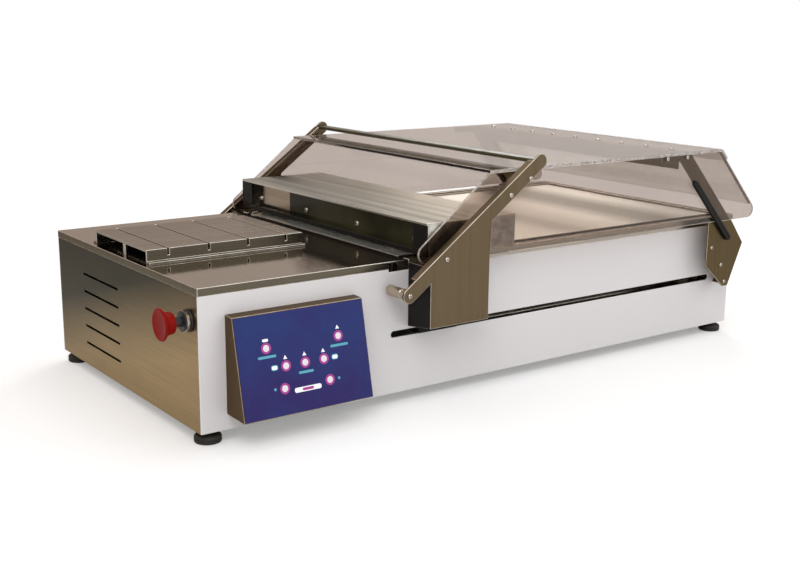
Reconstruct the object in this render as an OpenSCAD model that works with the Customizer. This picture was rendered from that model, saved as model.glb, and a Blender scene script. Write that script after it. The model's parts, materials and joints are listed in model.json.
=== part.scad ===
// Flat-bed benchtop reflow oven with a sliding bridge and a fixed clear guard hood.
// Origin: on the floor, under the middle of the whole machine. +X runs along the
// bed, away from the bridge's parking end; -Y is the operator's side; +Z is up.
// Inside the modules x counts from the left panel's outer face, y from the
// machine's mid-plane and z from the floor; on_base() moves that to the origin.

/* [Base] */
// Length of the sheet-metal base
base_l = 960; // [920:10:1040]
// Depth of the sheet-metal base
base_d = 448; // [430:2:480]
// Height of the sheet-metal base above its feet
base_h = 180; // [176:2:200]
// Thickness of the base's sheet steel
sheet_t = 2; // [1.5:0.5:3]
// Height of the polished rim band above the left part's panels
rim_h = 10.3; // [8:0.5:12]
// Height of the rim band along the bed
bed_rim_h = 14; // [12:0.5:18]
// Height of the feet
foot_h = 16; // [12:1:25]
// Radius of a foot's rubber disc
foot_r = 17; // [12:1:20]
// Height of a foot's rubber disc
foot_disc_h = 10; // [8:0.5:11]
// Distance of a foot's axis from the base's edges
foot_inset = 17; // [17:1:40]
// Radius of a foot's steel stud
stud_r = 5; // [3:0.5:6]

/* [Ventilation] */
// Number of slots in the left panel
vent_n = 5; // [3:1:5]
// Distance between two slots
vent_pitch = 25; // [20:1:26]
// Height of the lowest slot above the base's bottom edge
vent_z = 33; // [25:1:36]
// Length of a slot
vent_l = 121; // [90:1:130]
// Height of a slot
vent_h = 3.5; // [2.5:0.5:5]
// Distance of the slots' middle behind the mid-plane
vent_y = 71; // [60:1:80]

/* [Left deck] */
// Right edge of the polished deck plate
deck_l = 300; // [298:1:302]
// Right end of the deck plate's turned-down lips
deck_lip_l = 274; // [260:1:280]
// Thickness of the deck plate
deck_t = 2; // [1.5:0.5:3]

/* [Finger tray] */
// Left edge of the finger tray
comb_x = 9; // [8:1:20]
// Length of the finger tray
comb_l = 231; // [200:1:240]
// Front edge of the finger tray, from the mid-plane
comb_y = -66; // [-80:1:-50]
// Depth of the finger tray, front to back
comb_d = 168; // [140:1:175]
// Height of the finger tray
comb_h = 18; // [14:1:24]
// Thickness of the finger tray's sheet
comb_t = 3; // [2:0.5:4]
// Width of the tray's feet, turned out along its front and back
comb_foot = 8; // [5:1:12]
// Number of slots across the finger tray
comb_slot_n = 4; // [2:1:5]
// Distance from the tray's left edge to its first slot
comb_slot_x = 29; // [20:1:34]
// Distance between two slots
comb_slot_pitch = 58; // [40:1:58]
// Width of a slot
comb_slot_w = 2.8; // [2:0.2:3.6]
// Depth of the notch that a slot cuts in the tray's front face
comb_notch_h = 9; // [5:0.5:10]

/* [Bed] */
// Left edge of the bed tray
bed_x = 306; // [305:0.5:308]
// Distance of the bed tray's right edge from the base's right edge
bed_end = 14; // [12:1:20]
// Width of the rim's flat ledge around the bed
ledge_w = 12; // [10:0.5:13]
// Width of the running slot for the bridge's legs
leg_slot_w = 13; // [12:0.5:15]
// Depth of the bed tray
tray_h = 46; // [42:1:50]
// Thickness of the hot plate
plate_h = 12; // [10:1:14]
// Drop of the hot plate below the tray's edge
plate_drop = 3; // [1:0.5:4]
// Side gap between the hot plate and the tray's wall
plate_gap = 0.5; // [0.3:0.1:2]
// Number of heater rods
heater_n = 6; // [3:1:8]
// Radius of a heater rod
heater_r = 4; // [3:0.5:5]

/* [Running slots in the front and back panels] */
// Left end of a panel slot
slot_x = 278; // [270:1:290]
// Distance of a panel slot's right end from the base's right edge
slot_end = 50; // [46:1:60]
// Height of a panel slot's middle above the base's bottom edge
slot_z = 81.2; // [78:0.2:84]
// Height of a panel slot
slot_h = 9; // [8:0.5:12]

/* [Bridge] */
// Left edge of the bridge's legs and cross bar
leg_x = 320; // [318:1:330]
// Width of the legs and the cross bar along the travel
leg_w = 65; // [55:1:70]
// Thickness of a leg
leg_t = 6; // [4:0.5:8]
// Thickness of the cross bar
bar_t = 6; // [4:0.5:7]
// Clear distance between a panel and the side plate beside it
plate_stand = 47.6; // [44:0.2:52]
// Thickness of the side plates
plate_t = 3; // [2:0.5:4]
// Left edge of the side plates
side_x = 304; // [300:1:308]
// Width of the side plates
side_w = 98; // [88:1:106]
// Distance from the base's bottom edge to the side plates' lower edge
side_z = 96.2; // [90:0.2:100]
// Gap between a side plate's turned-in flange and the panel
flange_gap = 2; // [1:0.5:4]
// Gap between a hanger and the panel
hanger_gap = 2; // [1:0.5:4]
// Thickness of the hangers' sheet
hanger_t = 4; // [3:0.5:6]
// Height of a hanger above the side plate's lower edge
hanger_rise = 40; // [32:1:50]
// Angle of the handle arms
arm_a = 35.9; // [34:0.1:38]
// Length of a handle arm between its end axes
arm_l = 268; // [266:1:275]
// Width of a handle arm
arm_w = 20; // [18:1:24]
// Place of a handle arm's lower end axis, from the left panel
arm_x = 271; // [268:1:276]
// Drop of that axis below the rim
arm_drop = 35.4; // [34:0.2:37]
// Depth of the arm's turned-in upper flange
arm_flange = 12; // [8:1:14]
// Radius of the bumper at an arm's lower end
bumper_r = 7.2; // [6:0.2:9]
// Gap between a bumper and the panel
bumper_gap = 5.6; // [3:0.2:8]
// Width of the top bar along the arms
top_bar_w = 16; // [12:1:18]
// Thickness of the top bar
top_bar_t = 5.5; // [4:0.5:7]
// Gap between the top bar and the hood below it
top_bar_gap = 7; // [5:0.25:9]

/* [Bridge beam] */
// Width of the beam along the travel
beam_w = 150; // [140:1:152]
// Height of the beam's top above the rim
beam_top = 49; // [44:0.5:52]
// Gap between the beam's lower edge and the rim
beam_gap = 4.5; // [3:0.5:6]
// Gap between the beam's ends and the hood's walls
beam_side = 1.5; // [1:0.25:4]
// Thickness of the beam's sheet
beam_t = 2; // [1.5:0.5:3]
// Thickness of the beam's end plates
end_t = 3; // [2:0.5:4]
// Height of the front lip that hangs from the beam's top
beam_lip = 3; // [2.5:0.5:6]
// Width of the black frame's uprights at the beam's ends
skirt_end = 30; // [20:1:32]
// Height of the black frame's strip along the beam's lower edge
skirt_h = 6.5; // [5:0.5:10]
// Distance of the tool rail's face behind the beam's front
rail_in = 12; // [8:1:16]
// Thickness of the tool rail
rail_t = 4; // [3:0.5:6]
// Number of bolts in the tool rail
rail_bolt_n = 4; // [4:1:7]
// Height of those bolts above the rim
rail_bolt_z = 22.3; // [16:0.1:30]

/* [Hood] */
// Height of the hood's lower edge below the rim
hood_drop = 2; // [0:0.5:2.5]
// Gap between the hood's outer face and the base's panels
hood_side = 28; // [26:0.5:30]
// Thickness of the hood's clear sheets
hood_t = 4; // [3:0.5:5]
// Left end of the hood's top
hood_x = 418; // [410:0.5:424]
// Slope of the hood's open left end
hood_mouth_a = 38.4; // [37:0.2:40]
// Distance of the hood top's right end from the base's right edge
hood_end = 75.1; // [70:0.1:80]
// Slope of the hood's right end
hood_slope_a = 47; // [45:0.5:48]
// Radius of the hood's lower corners
hood_corner_r = 12; // [8:0.5:15]
// Radius of the bend between the hood's top and its lip
hood_bend_r = 7; // [6:0.5:10]
// Length of the lip bent down from the hood's top
hood_lip = 19; // [14:1:24]
// Height of the end sheet's lower edge above the walls' rounded corners
end_sheet_rise = 1; // [0.5:0.5:10]

/* [Hood bracket] */
// Distance of the bracket's left edge from the base's right edge
bracket_end = 91; // [86:0.5:94]
// Distance of the bracket's right corner from the base's right edge
bracket_tip = 5; // [4:0.2:10]
// Height of the bracket's right corner below the rim
bracket_corner = 42; // [38:0.2:44]
// Height of the bracket's left corner below the rim
bracket_left = 71.6; // [66:0.2:76]
// Height of the bracket's lowest edge below the rim
bracket_foot = 109.5; // [104:0.5:114]
// Thickness of the bracket's sheet
bracket_t = 3; // [2:0.5:3]
// Distance of the bracket's upper right corner beyond the line of the hood's slope
rib_out = 5.5; // [4:0.5:7]
// Width of the hood's slanted arms
rib_w = 24; // [20:1:28]
// Depth of the slanted arms' fold
rib_d = 14.5; // [10:0.5:16]
// Width of the black clamp bars on the slanted arms
clamp_w = 9.5; // [8:0.5:12]
// Thickness of the clamp bars
clamp_t = 6; // [4:0.5:7]
// Length of the clamp bars between their end axes
clamp_l = 126; // [110:1:132]
// Distance of the clamp bars' middle line from the arms' right edge
clamp_in = 25.8; // [24:0.2:28]
// Height of the cross plate under the hood's top
cross_h = 24; // [20:1:28]
// Number of screws in the cross plate
cross_n = 9; // [5:2:9]
// Distance between two of those screws
cross_pitch = 53; // [45:1:54]

/* [Control console] */
// Left edge of the console
console_x = 35; // [30:1:45]
// Width of the console
console_w = 185; // [180:1:200]
// Height of the console's top at the panel, above the base's bottom edge
console_top = 144.2; // [140:0.1:150]
// Height of the console's bottom at the panel, above the base's bottom edge
console_low = 20; // [15:0.1:25]
// Depth of the console at its top
console_d_top = 17; // [14:0.5:20]
// Depth of the console at its bottom
console_d_low = 44; // [40:0.5:46]
// Thickness of the console's sheet
console_t = 1.5; // [1:0.5:2]
// Thickness of the membrane keypad
keypad_t = 0.8; // [0.5:0.1:1.2]
// Bare margin around the membrane keypad
keypad_edge = 1; // [0.5:0.5:4]

/* [Emergency stop] */
// Distance of the button's axis behind the front panel
estop_y = 24.8; // [24:0.2:35]
// Height of the button's axis above the base's bottom edge
estop_z = 136.7; // [120:0.1:140]
// Radius of the mushroom head
estop_r = 20; // [15:0.5:21]
// Distance from the left panel to the tip of the released head
estop_reach = 38; // [34:1:44]
// Height of the mushroom head
estop_cap = 17; // [14:1:20]
// Radius of the collar
collar_r = 14; // [12:0.5:15]
// Height of the collar
collar_h = 10; // [8:0.5:12]
// Radius of the push rod
estop_rod = 6; // [4:0.5:8]
// Travel of the head
estop_travel = 4.5; // [3:0.5:6]

/* [Drive] */
// Radius of the guide rods
rod_r = 8; // [6:0.5:10]
// Height of the guide rods' axes above the base's bottom edge
rod_z = 56; // [54:1:58]
// Distance of each guide rod from the mid-plane
rod_y = 150; // [120:1:160]
// Radial clearance of the bearings on the rods
bearing_fit = 0.05; // [0.02:0.01:0.08]
// Width of a bearing block across the rod
bearing_w = 36; // [30:1:44]
// Pitch radius of the belt pulleys
pulley_r = 12; // [10:0.5:13]
// Width of the belt
belt_w = 10; // [8:1:12]
// Thickness of the belt
belt_t = 1.6; // [1.2:0.2:2]
// Height of the belt's middle above the base's bottom edge
belt_z = 52; // [51:0.5:54]
// Place of the drive pulley's axis, from the left panel
drive_x = 272; // [268:1:278]
// Distance of the idler's axis from the base's right edge
idler_end = 40; // [36:1:46]
// Radius of the pulleys' axles
axle_r = 3; // [2.5:0.5:4]
// Side of the drive motor's square body
motor_w = 57; // [50:1:60]
// Length of the drive motor
motor_l = 76; // [60:1:90]

/* [Fan] */
// Side of the fan's square frame
fan_w = 92; // [80:1:100]
// Depth of the fan's frame
fan_d = 25; // [20:1:38]
// Distance between the fan and the left panel
fan_gap = 4; // [2:1:8]
// Number of fan blades
fan_blades = 7; // [5:1:9]
// Height of the fan's axis above the base's bottom edge
fan_z = 83; // [70:1:100]

/* [Hidden] */
$fn = 64;

// Heights above the floor
z_low = foot_h;
z_top = foot_h + base_h;
pan_top = z_low + sheet_t;
slot_mid = z_low + slot_z;
rod_mid = z_low + rod_z;
belt_mid = z_low + belt_z;

// Half depths from the mid-plane
y_panel = base_d / 2;
y_inner = y_panel - sheet_t;
y_ledge = y_panel - ledge_w;
y_tray = y_ledge - leg_slot_w;
y_leg = (y_ledge + y_tray + leg_t) / 2;
y_plate = y_panel + plate_stand;
y_hood = y_panel + hood_side;
y_hood_in = y_hood - hood_t;

// Bed stack
bed_end_x = base_l - bed_end;
tray_low = z_top - tray_h;
plate_top = z_top - plate_drop;
plate_low = plate_top - plate_h;
heater_low = plate_low - 2 * heater_r;
slot_end_x = base_l - slot_end;
shelf_t = 2;
shelf_ledge = 12;
bulk_x = bed_x - 10;
belt_play = 6;

// Bridge
bar_low = slot_mid - bar_t / 2;
bar_high = slot_mid + bar_t / 2;
side_low = z_low + side_z;
hanger_high = side_low + hanger_rise;
y_hanger = y_panel + hanger_gap + hanger_t;
arm_z = z_top - arm_drop;
arm_tip_x = arm_x + arm_l * cos(arm_a);
arm_tip_z = arm_z + arm_l * sin(arm_a);

// Hood
hood_high = arm_tip_z - top_bar_t / 2 - top_bar_gap;
hood_under = hood_high - hood_t;
hood_low = z_top - hood_drop;
hood_end_x = base_l - hood_end;
mouth_x = hood_x - (hood_under - hood_low) / tan(hood_mouth_a);
slope_x = hood_end_x + (hood_high - hood_low) / tan(hood_slope_a);
hood_reach = slope_x - hood_corner_r / tan(hood_slope_a / 2) + hood_corner_r;
bracket_x = base_l - bracket_end;
bracket_end_x = base_l - bracket_tip;
bracket_high = hood_low;
bracket_mid = z_top - bracket_corner;
bracket_top_x = bracket_end_x + rib_out - (bracket_high - bracket_mid) / tan(hood_slope_a);
rib_foot = bracket_mid + 8;
y_rib = y_hood_in;

// Beam
beam_x = leg_x - beam_t;
beam_end_x = beam_x + beam_w;
beam_high = z_top + beam_top;
beam_under = beam_high - beam_t;
beam_low = z_top + beam_gap;
y_beam = y_hood_in - beam_side;
rail_x = beam_x + rail_in;

// Distance from the left panel to the middle of the machine's whole length
x_mid = (hood_reach - estop_reach) / 2;

module on_base() translate([-x_mid, 0, 0]) children();

// The same thing on the operator's side and, mirrored, at the back
module both_sides() {
  children();
  mirror([0, 1, 0]) children();
}

module at_back() mirror([0, 1, 0]) children();

// A box given by its limits
module block(x, y, z)
  translate([x[0], y[0], z[0]]) cube([x[1] - x[0], y[1] - y[0], z[1] - z[0]]);

// An x-z outline made solid between two y values
module side_sheet(y)
  translate([0, y[1], 0]) rotate([90, 0, 0]) linear_extrude(y[1] - y[0]) children();

// A y-z outline made solid between two x values
module end_sheet(x)
  translate([x[0], 0, 0]) rotate([90, 0, 90]) linear_extrude(x[1] - x[0]) children();

module rod_x(x, r) translate([x[0], 0, 0]) rotate([0, 90, 0]) cylinder(h = x[1] - x[0], r = r);

module rod_y(y, r) translate([0, y[1], 0]) rotate([90, 0, 0]) cylinder(h = y[1] - y[0], r = r);

// A round screw head that stands on y = 0, towards -Y
module screw_head(r, h) rotate([90, 0, 0]) cylinder(h = h, r1 = r, r2 = r * 0.7);

// Points along the fillet of radius r at corner b of the path a-b-c
function unit(v) = v / norm(v);
function fillet(a, b, c, r, n = 8) =
  let (u = unit(a - b), v = unit(c - b), half = acos(u * v) / 2)
  let (centre = b + unit(u + v) * r / sin(half))
  let (p = b + u * r / tan(half) - centre, q = b + v * r / tan(half) - centre)
  let (turn = 180 - 2 * half)
  [for (i = [0 : n]) centre + (p * sin(turn * (1 - i / n)) + q * sin(turn * i / n)) / sin(turn)];

// A closed outline with each corner rounded by its own radius
function rounded(pts, radii) = [
  for (i = [0 : len(pts) - 1])
    let (a = pts[(i + len(pts) - 1) % len(pts)], c = pts[(i + 1) % len(pts)])
    each (radii[i] > 0 ? fillet(a, pts[i], c, radii[i]) : [pts[i]])
];

// A slot outline with round ends, from x0 to x1 about height z
module slot_outline(x0, x1, z, h) {
  translate([x0 + h / 2, z - h / 2]) square([x1 - x0 - h, h]);
  translate([x0 + h / 2, z]) circle(h / 2);
  translate([x1 - h / 2, z]) circle(h / 2);
}

// ---- Base ----

module base_pan() color("silver") on_base() {
  flange = 15;
  block([sheet_t, base_l - sheet_t], [-y_inner, y_inner], [z_low, pan_top]);
  both_sides()
    block([sheet_t, base_l - sheet_t], [-y_inner, -y_inner + sheet_t], [pan_top, pan_top + flange]);
}

// The long panel: its top steps down where the bed begins
module long_panel() {
  lip_low = z_top - rim_h;
  bed_lip_low = z_top - bed_rim_h;
  side_sheet([-y_panel, -y_inner]) difference() {
    polygon([
      [0, z_low], [base_l, z_low], [base_l, bed_lip_low],
      [deck_lip_l, bed_lip_low], [deck_lip_l, lip_low], [0, lip_low]
    ]);
    slot_outline(slot_x, slot_end_x, slot_mid, slot_h);
  }
}

module front_panel() color("white") on_base() long_panel();

inlet_x = 90;
inlet_rise = 60;
inlet_z = z_low + inlet_rise;
inlet_w = 48;
inlet_h = 28;

module back_panel() color("white") on_base() difference() {
  at_back() long_panel();
  block([inlet_x, inlet_x + inlet_w], [y_inner - 1, y_panel + 1], [inlet_z, inlet_z + inlet_h]);
}

estop_mid = z_low + estop_z;
estop_mid_y = -y_panel + estop_y;
estop_hole = estop_rod + 5;

module left_panel() color("tan") on_base() difference() {
  block([0, sheet_t], [-y_inner, y_inner], [z_low, z_top - rim_h]);
  for (i = [0 : vent_n - 1])
    end_sheet([-1, sheet_t + 1])
      slot_outline(vent_y - vent_l / 2, vent_y + vent_l / 2, z_low + vent_z + i * vent_pitch, vent_h);
  translate([-1, estop_mid_y, estop_mid]) rod_x([0, sheet_t + 2], estop_hole);
}

module right_panel() color("tan") on_base()
  block([base_l - sheet_t, base_l], [-y_inner, y_inner], [z_low, z_top - bed_rim_h]);

module deck_plate() color("gainsboro") on_base() {
  lip_low = z_top - rim_h;
  block([0, deck_l], [-y_panel, y_panel], [z_top - deck_t, z_top]);
  block([0, sheet_t], [-y_panel, y_panel], [lip_low, z_top - deck_t]);
  both_sides()
    block([sheet_t, deck_lip_l], [-y_panel, -y_inner], [lip_low, z_top - deck_t]);
}

// ---- Finger tray: a folded cover, open at its left end, slotted into fingers ----

module finger_tray() color("silver") on_base() difference() {
  x = [comb_x, comb_x + comb_l];
  y = [comb_y, comb_y + comb_d];
  z_roof = z_top + comb_h;
  union() {
    block(x, y, [z_roof - comb_t, z_roof]);
    block(x, [y[0], y[0] + comb_t], [z_top, z_roof - comb_t]);
    block(x, [y[1] - comb_t, y[1]], [z_top, z_roof - comb_t]);
    block([x[1] - comb_t, x[1]], [y[0] + comb_t, y[1] - comb_t], [z_top, z_roof - comb_t]);
    block(x, [y[0] - comb_foot, y[0]], [z_top, z_top + comb_t]);
    block(x, [y[1], y[1] + comb_foot], [z_top, z_top + comb_t]);
  }
  for (i = [0 : comb_slot_n - 1]) {
    slot = comb_x + comb_slot_x + i * comb_slot_pitch;
    block([slot, slot + comb_slot_w], [y[0] - 1, y[1] - comb_t], [z_roof - comb_t - 1, z_roof + 1]);
    block([slot, slot + comb_slot_w], [y[0] - 1, y[0] + comb_t + 1], [z_roof - comb_notch_h, z_roof + 1]);
  }
}

module tray_post() color("silver") on_base() {
  post_r = 3;
  translate([comb_x + post_r + 1, comb_y + comb_d * 0.45, z_top])
    cylinder(h = comb_h - comb_t, r = post_r);
}

// ---- Bed ----

module bed_frame() color("tan") on_base() {
  lip_low = z_top - bed_rim_h;
  both_sides() {
    block([bed_x, base_l], [-y_panel, -y_ledge], [z_top - sheet_t, z_top]);
    block([bed_x, base_l], [-y_panel, -y_inner], [lip_low, z_top - sheet_t]);
  }
  block([bed_end_x, base_l], [-y_ledge, y_ledge], [z_top - sheet_t, z_top]);
  block([base_l - sheet_t, base_l], [-y_inner, y_inner], [lip_low, z_top - sheet_t]);
}

// The wall under the deck's right edge; its flange carries the bed tray
module bed_bulkhead() color("silver") on_base() difference() {
  union() {
    block([bulk_x, bulk_x + shelf_t], [-y_tray, y_tray], [pan_top, z_top - deck_t]);
    block([bulk_x + shelf_t, bed_x + shelf_ledge], [-y_tray, y_tray], [tray_low - shelf_t, tray_low]);
  }
  for (s = [-1, 1])
    translate([0, s * rod_y, rod_mid]) rod_x([bulk_x - 1, bulk_x + shelf_t + 1], rod_r + 1);
  block(
    [bulk_x - 1, bulk_x + shelf_t + 1],
    [-pulley_r - belt_play, pulley_r + belt_play],
    [belt_mid - belt_w / 2 - belt_play, belt_mid + belt_w / 2 + belt_play]
  );
}

module bed_shelf() color("silver") on_base() {
  apron = 24;
  block([base_l - sheet_t - shelf_t, base_l - sheet_t], [-y_tray, y_tray], [tray_low - apron, tray_low]);
  block(
    [bed_end_x - shelf_ledge, base_l - sheet_t - shelf_t],
    [-y_tray, y_tray],
    [tray_low - shelf_t, tray_low]
  );
}

module bed_tray() color("silver") on_base() difference() {
  block([bed_x, bed_end_x], [-y_tray, y_tray], [tray_low, z_top]);
  block(
    [bed_x + sheet_t, bed_end_x - sheet_t],
    [-y_tray + sheet_t, y_tray - sheet_t],
    [tray_low + sheet_t, z_top + 1]
  );
}

module insulation_board() color("ivory") on_base()
  block(
    [bed_x + sheet_t + plate_gap, bed_end_x - sheet_t - plate_gap],
    [-y_tray + sheet_t + plate_gap, y_tray - sheet_t - plate_gap],
    [tray_low + sheet_t, heater_low]
  );

module heater_rods() color("dimgray") on_base() {
  pitch = 2 * (y_tray - sheet_t) / heater_n;
  margin = 12;
  for (i = [0 : heater_n - 1])
    translate([0, (i - (heater_n - 1) / 2) * pitch, heater_low + heater_r])
      rod_x([bed_x + margin, bed_end_x - margin], heater_r);
}

module hot_plate() color("whitesmoke") on_base()
  block(
    [bed_x + sheet_t + plate_gap, bed_end_x - sheet_t - plate_gap],
    [-y_tray + sheet_t + plate_gap, y_tray - sheet_t - plate_gap],
    [plate_low, plate_top]
  );

// ---- Guide rods and belt drive ----

support_w = 24;
support_x = bulk_x - support_w;
support_end_x = base_l - 6;
rod_wall = 8;

module rod_supports() color("silver") on_base()
  for (x = [support_x, support_end_x - support_w], s = [-1, 1]) difference() {
    block(
      [x, x + support_w],
      [s * rod_y - bearing_w / 2, s * rod_y + bearing_w / 2],
      [pan_top, rod_mid + rod_r + rod_wall]
    );
    translate([0, s * rod_y, rod_mid]) rod_x([x - 1, x + support_w + 1], rod_r);
  }

module guide_rods() color("gainsboro") on_base() both_sides()
  translate([0, -rod_y, rod_mid]) rod_x([support_x, support_end_x], rod_r);

pulley_flange = 1.5;
flange_play = 0.5;
belt_play_r = 0.3;
pulley_h = belt_w + 2 * (pulley_flange + flange_play);
pulley_low = belt_mid - pulley_h / 2;
pulley_core = pulley_r - belt_t / 2 - belt_play_r;
idler_x = base_l - idler_end;
motor_top = pulley_low - 6;
shaft_top = pulley_low + pulley_h + 2;

// A flanged pulley on a vertical axle, bored for it
module pulley(x) {
  rim = pulley_core + 3;
  translate([x, 0, pulley_low]) difference() {
    union() {
      cylinder(h = pulley_flange, r = rim);
      cylinder(h = pulley_h, r = pulley_core);
      translate([0, 0, pulley_h - pulley_flange]) cylinder(h = pulley_flange, r = rim);
    }
    translate([0, 0, -1]) cylinder(h = pulley_h + 2, r = axle_r + bearing_fit);
  }
}

// The motor stands on the pan beside the bulkhead; its shaft carries the drive pulley
module drive_motor() color("dimgray") on_base() {
  bulk_gap = 4;
  boss_r = 11;
  boss_h = 4;
  block(
    [bulk_x - bulk_gap - motor_w, bulk_x - bulk_gap],
    [-motor_w / 2, motor_w / 2],
    [pan_top, motor_top]
  );
  translate([drive_x, 0, motor_top]) cylinder(h = boss_h, r = boss_r);
  translate([drive_x, 0, motor_top]) cylinder(h = shaft_top - motor_top, r = axle_r);
}

module drive_pulley() color("silver") on_base() pulley(drive_x);

module idler_bracket() color("silver") on_base() {
  arm = [15, 18];
  gap = 3;
  washer = [6, 2.6];
  block([idler_x - arm[0], idler_x + arm[0]], [-arm[1], arm[1]], [pan_top, pulley_low - gap]);
  translate([idler_x, 0, pulley_low - gap]) {
    cylinder(h = washer[1], r = washer[0]);
    cylinder(h = shaft_top - pulley_low + gap, r = axle_r);
  }
}

module idler_pulley() color("silver") on_base() pulley(idler_x);

module belt_outline(r) {
  translate([drive_x, 0]) circle(r);
  translate([idler_x, 0]) circle(r);
  translate([drive_x, -r]) square([idler_x - drive_x, 2 * r]);
}

module drive_belt() color("black") on_base()
  translate([0, 0, belt_mid - belt_w / 2]) linear_extrude(belt_w) difference() {
    belt_outline(pulley_r + belt_t / 2);
    belt_outline(pulley_r - belt_t / 2);
  }

// ---- Electrics in the left end ----

supply = [60, 30, 159, 97, 30];

module power_supply() color("silver") on_base()
  translate([supply[0], -y_inner + supply[1], pan_top]) cube([supply[2], supply[3], supply[4]]);

// The board's corner and size, its stand-offs, and its blocks as x, y, height
board_at = [70, 60];
board = [150, 100, 1.6];
board_stand = 8;
board_post_r = 3;
chip_h = 3.4;
plug_h = 12.4;
board_blocks = [
  [[20, 50], [20, 50], chip_h], [[80, 130], [10, 22], plug_h], [[80, 130], [78, 90], plug_h]
];

module controller_board() color("seagreen") on_base() translate([board_at[0], board_at[1], pan_top]) {
  top = board_stand + board[2];
  inset = 5;
  translate([0, 0, board_stand]) cube(board);
  for (x = [inset, board[0] - inset], y = [inset, board[1] - inset])
    translate([x, y, 0]) cylinder(h = board_stand, r = board_post_r);
  for (b = board_blocks)
    block(b[0], b[1], [top, top + b[2]]);
}

fan_x = sheet_t + fan_gap;
fan_end_x = fan_x + fan_d;
fan_mid = z_low + fan_z;
fan_bore = fan_w / 2 - 3;
fan_hub = 18;
strut_t = 3;
hub_gap = 1;

// The frame stands on a short foot and is crossed by two struts that hold the axle
module fan_frame() color("dimgray") on_base() translate([0, vent_y, fan_mid]) {
  half = fan_w / 2;
  strut = [[fan_end_x - strut_t, fan_end_x], [-fan_bore - 1, fan_bore + 1], [-strut_t, strut_t]];
  difference() {
    block([fan_x, fan_end_x], [-half, half], [-half, half]);
    rod_x([fan_x - 1, fan_end_x + 1], fan_bore);
  }
  block(strut[0], strut[1], strut[2]);
  block(strut[0], strut[2], strut[1]);
  rod_x([fan_x + 2 * hub_gap, fan_end_x - strut_t], axle_r);
  block([fan_x, fan_end_x], [-half, half], [pan_top - fan_mid, -half]);
}

module fan_rotor() color("black") on_base() translate([0, vent_y, fan_mid]) difference() {
  hub = [fan_x + 3 * hub_gap, fan_end_x - strut_t - hub_gap];
  blade_t = 1.6;
  blade_chord = 18;
  blade_pitch = 35;
  union() {
    rod_x(hub, fan_hub);
    for (i = [0 : fan_blades - 1])
      rotate([i * 360 / fan_blades, 0, 0])
        translate([(hub[0] + hub[1]) / 2, 0, fan_hub - 2]) rotate([0, 0, blade_pitch]) block(
          [-blade_t / 2, blade_t / 2], [-blade_chord / 2, blade_chord / 2], [0, fan_bore - fan_hub - hub_gap]
        );
  }
  rod_x([fan_x, fan_end_x], axle_r + bearing_fit);
}

module power_inlet() color("black") on_base() difference() {
  rim = [4, 3];
  body = 24;
  well = [12, 6, 14];
  union() {
    block([inlet_x, inlet_x + inlet_w], [y_inner - body, y_panel], [inlet_z, inlet_z + inlet_h]);
    block(
      [inlet_x - rim[0], inlet_x + inlet_w + rim[0]],
      [y_panel, y_panel + rim[1]],
      [inlet_z - rim[0], inlet_z + inlet_h + rim[0]]
    );
  }
  block(
    [inlet_x + well[0], inlet_x + inlet_w - well[0]],
    [y_panel - well[2], y_panel + rim[1] + 1],
    [inlet_z + well[1], inlet_z + inlet_h - well[1]]
  );
}

// ---- Control console ----

console_low_y = -y_panel - console_d_low;
console_top_y = -y_panel - console_d_top;
// Ends of the sloping face, as [y, z]; the top and the bottom fall a little towards it
console_fall = 1;
face_low = [console_low_y, z_low + console_low - console_fall];
face_top = [console_top_y, z_low + console_top - console_fall];
face_dir = unit(face_top - face_low);
face_out = [-face_dir[1], face_dir[0]];

module console_housing() color("saddlebrown") on_base() difference() {
  x = [console_x, console_x + console_w];
  wall = console_t;
  end_sheet(x) polygon([
    [-y_panel, z_low + console_low], face_low, face_top, [-y_panel, z_low + console_top]
  ]);
  end_sheet([x[0] + wall, x[1] - wall]) polygon([
    [-y_panel + 1, z_low + console_low + wall],
    face_low + [wall, wall],
    face_top + [wall, -wall],
    [-y_panel + 1, z_low + console_top - wall]
  ]);
}

// The keypad's film lies on a thin layer of glue
module membrane_keypad() color("midnightblue") on_base() {
  glue = 0.05;
  a = face_low + face_dir * keypad_edge;
  b = face_top - face_dir * keypad_edge;
  end_sheet([console_x + keypad_edge, console_x + console_w - keypad_edge]) polygon([
    a + face_out * glue, b + face_out * glue,
    b + face_out * (glue + keypad_t), a + face_out * (glue + keypad_t)
  ]);
}

// ---- Emergency stop ----

estop_fit = 0.08;
estop_well = sheet_t + 22;

module estop_collar() color("black") on_base() translate([0, estop_mid_y, estop_mid])
  difference() {
    neck_fit = 0.1;
    floor_t = 4;
    union() {
      rod_x([-collar_h, 0], collar_r);
      rod_x([0, sheet_t], estop_hole - neck_fit);
      rod_x([sheet_t, estop_well + floor_t], collar_r - 1);
    }
    rod_x([-collar_h - 1, estop_well], estop_rod + estop_fit);
  }

module estop_button() color("red") on_base() translate([0, estop_mid_y, estop_mid]) {
  cap_low = estop_reach - estop_cap;
  root = [estop_r * 0.75, cap_low];
  edge = estop_r * 0.25;
  spare = 1;
  rotate([0, -90, 0]) rotate_extrude() polygon(concat(
    [[0, cap_low], root],
    fillet(root, [estop_r, cap_low], [estop_r, estop_reach], edge),
    fillet([estop_r, cap_low], [estop_r, estop_reach], [0, estop_reach], edge),
    [[0, estop_reach]]
  ));
  rod_x([-cap_low, estop_well - estop_travel - spare], estop_rod);
}

// ---- Feet ----

module at_feet()
  for (x = [foot_inset, base_l - foot_inset], s = [-1, 1])
    translate([x, s * (y_panel - foot_inset), 0]) children();

module foot_discs() color("black") on_base() at_feet() {
  chamfer = 2;
  cylinder(h = foot_disc_h - chamfer, r = foot_r);
  translate([0, 0, foot_disc_h - chamfer]) cylinder(h = chamfer, r1 = foot_r, r2 = foot_r - chamfer);
}

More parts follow.
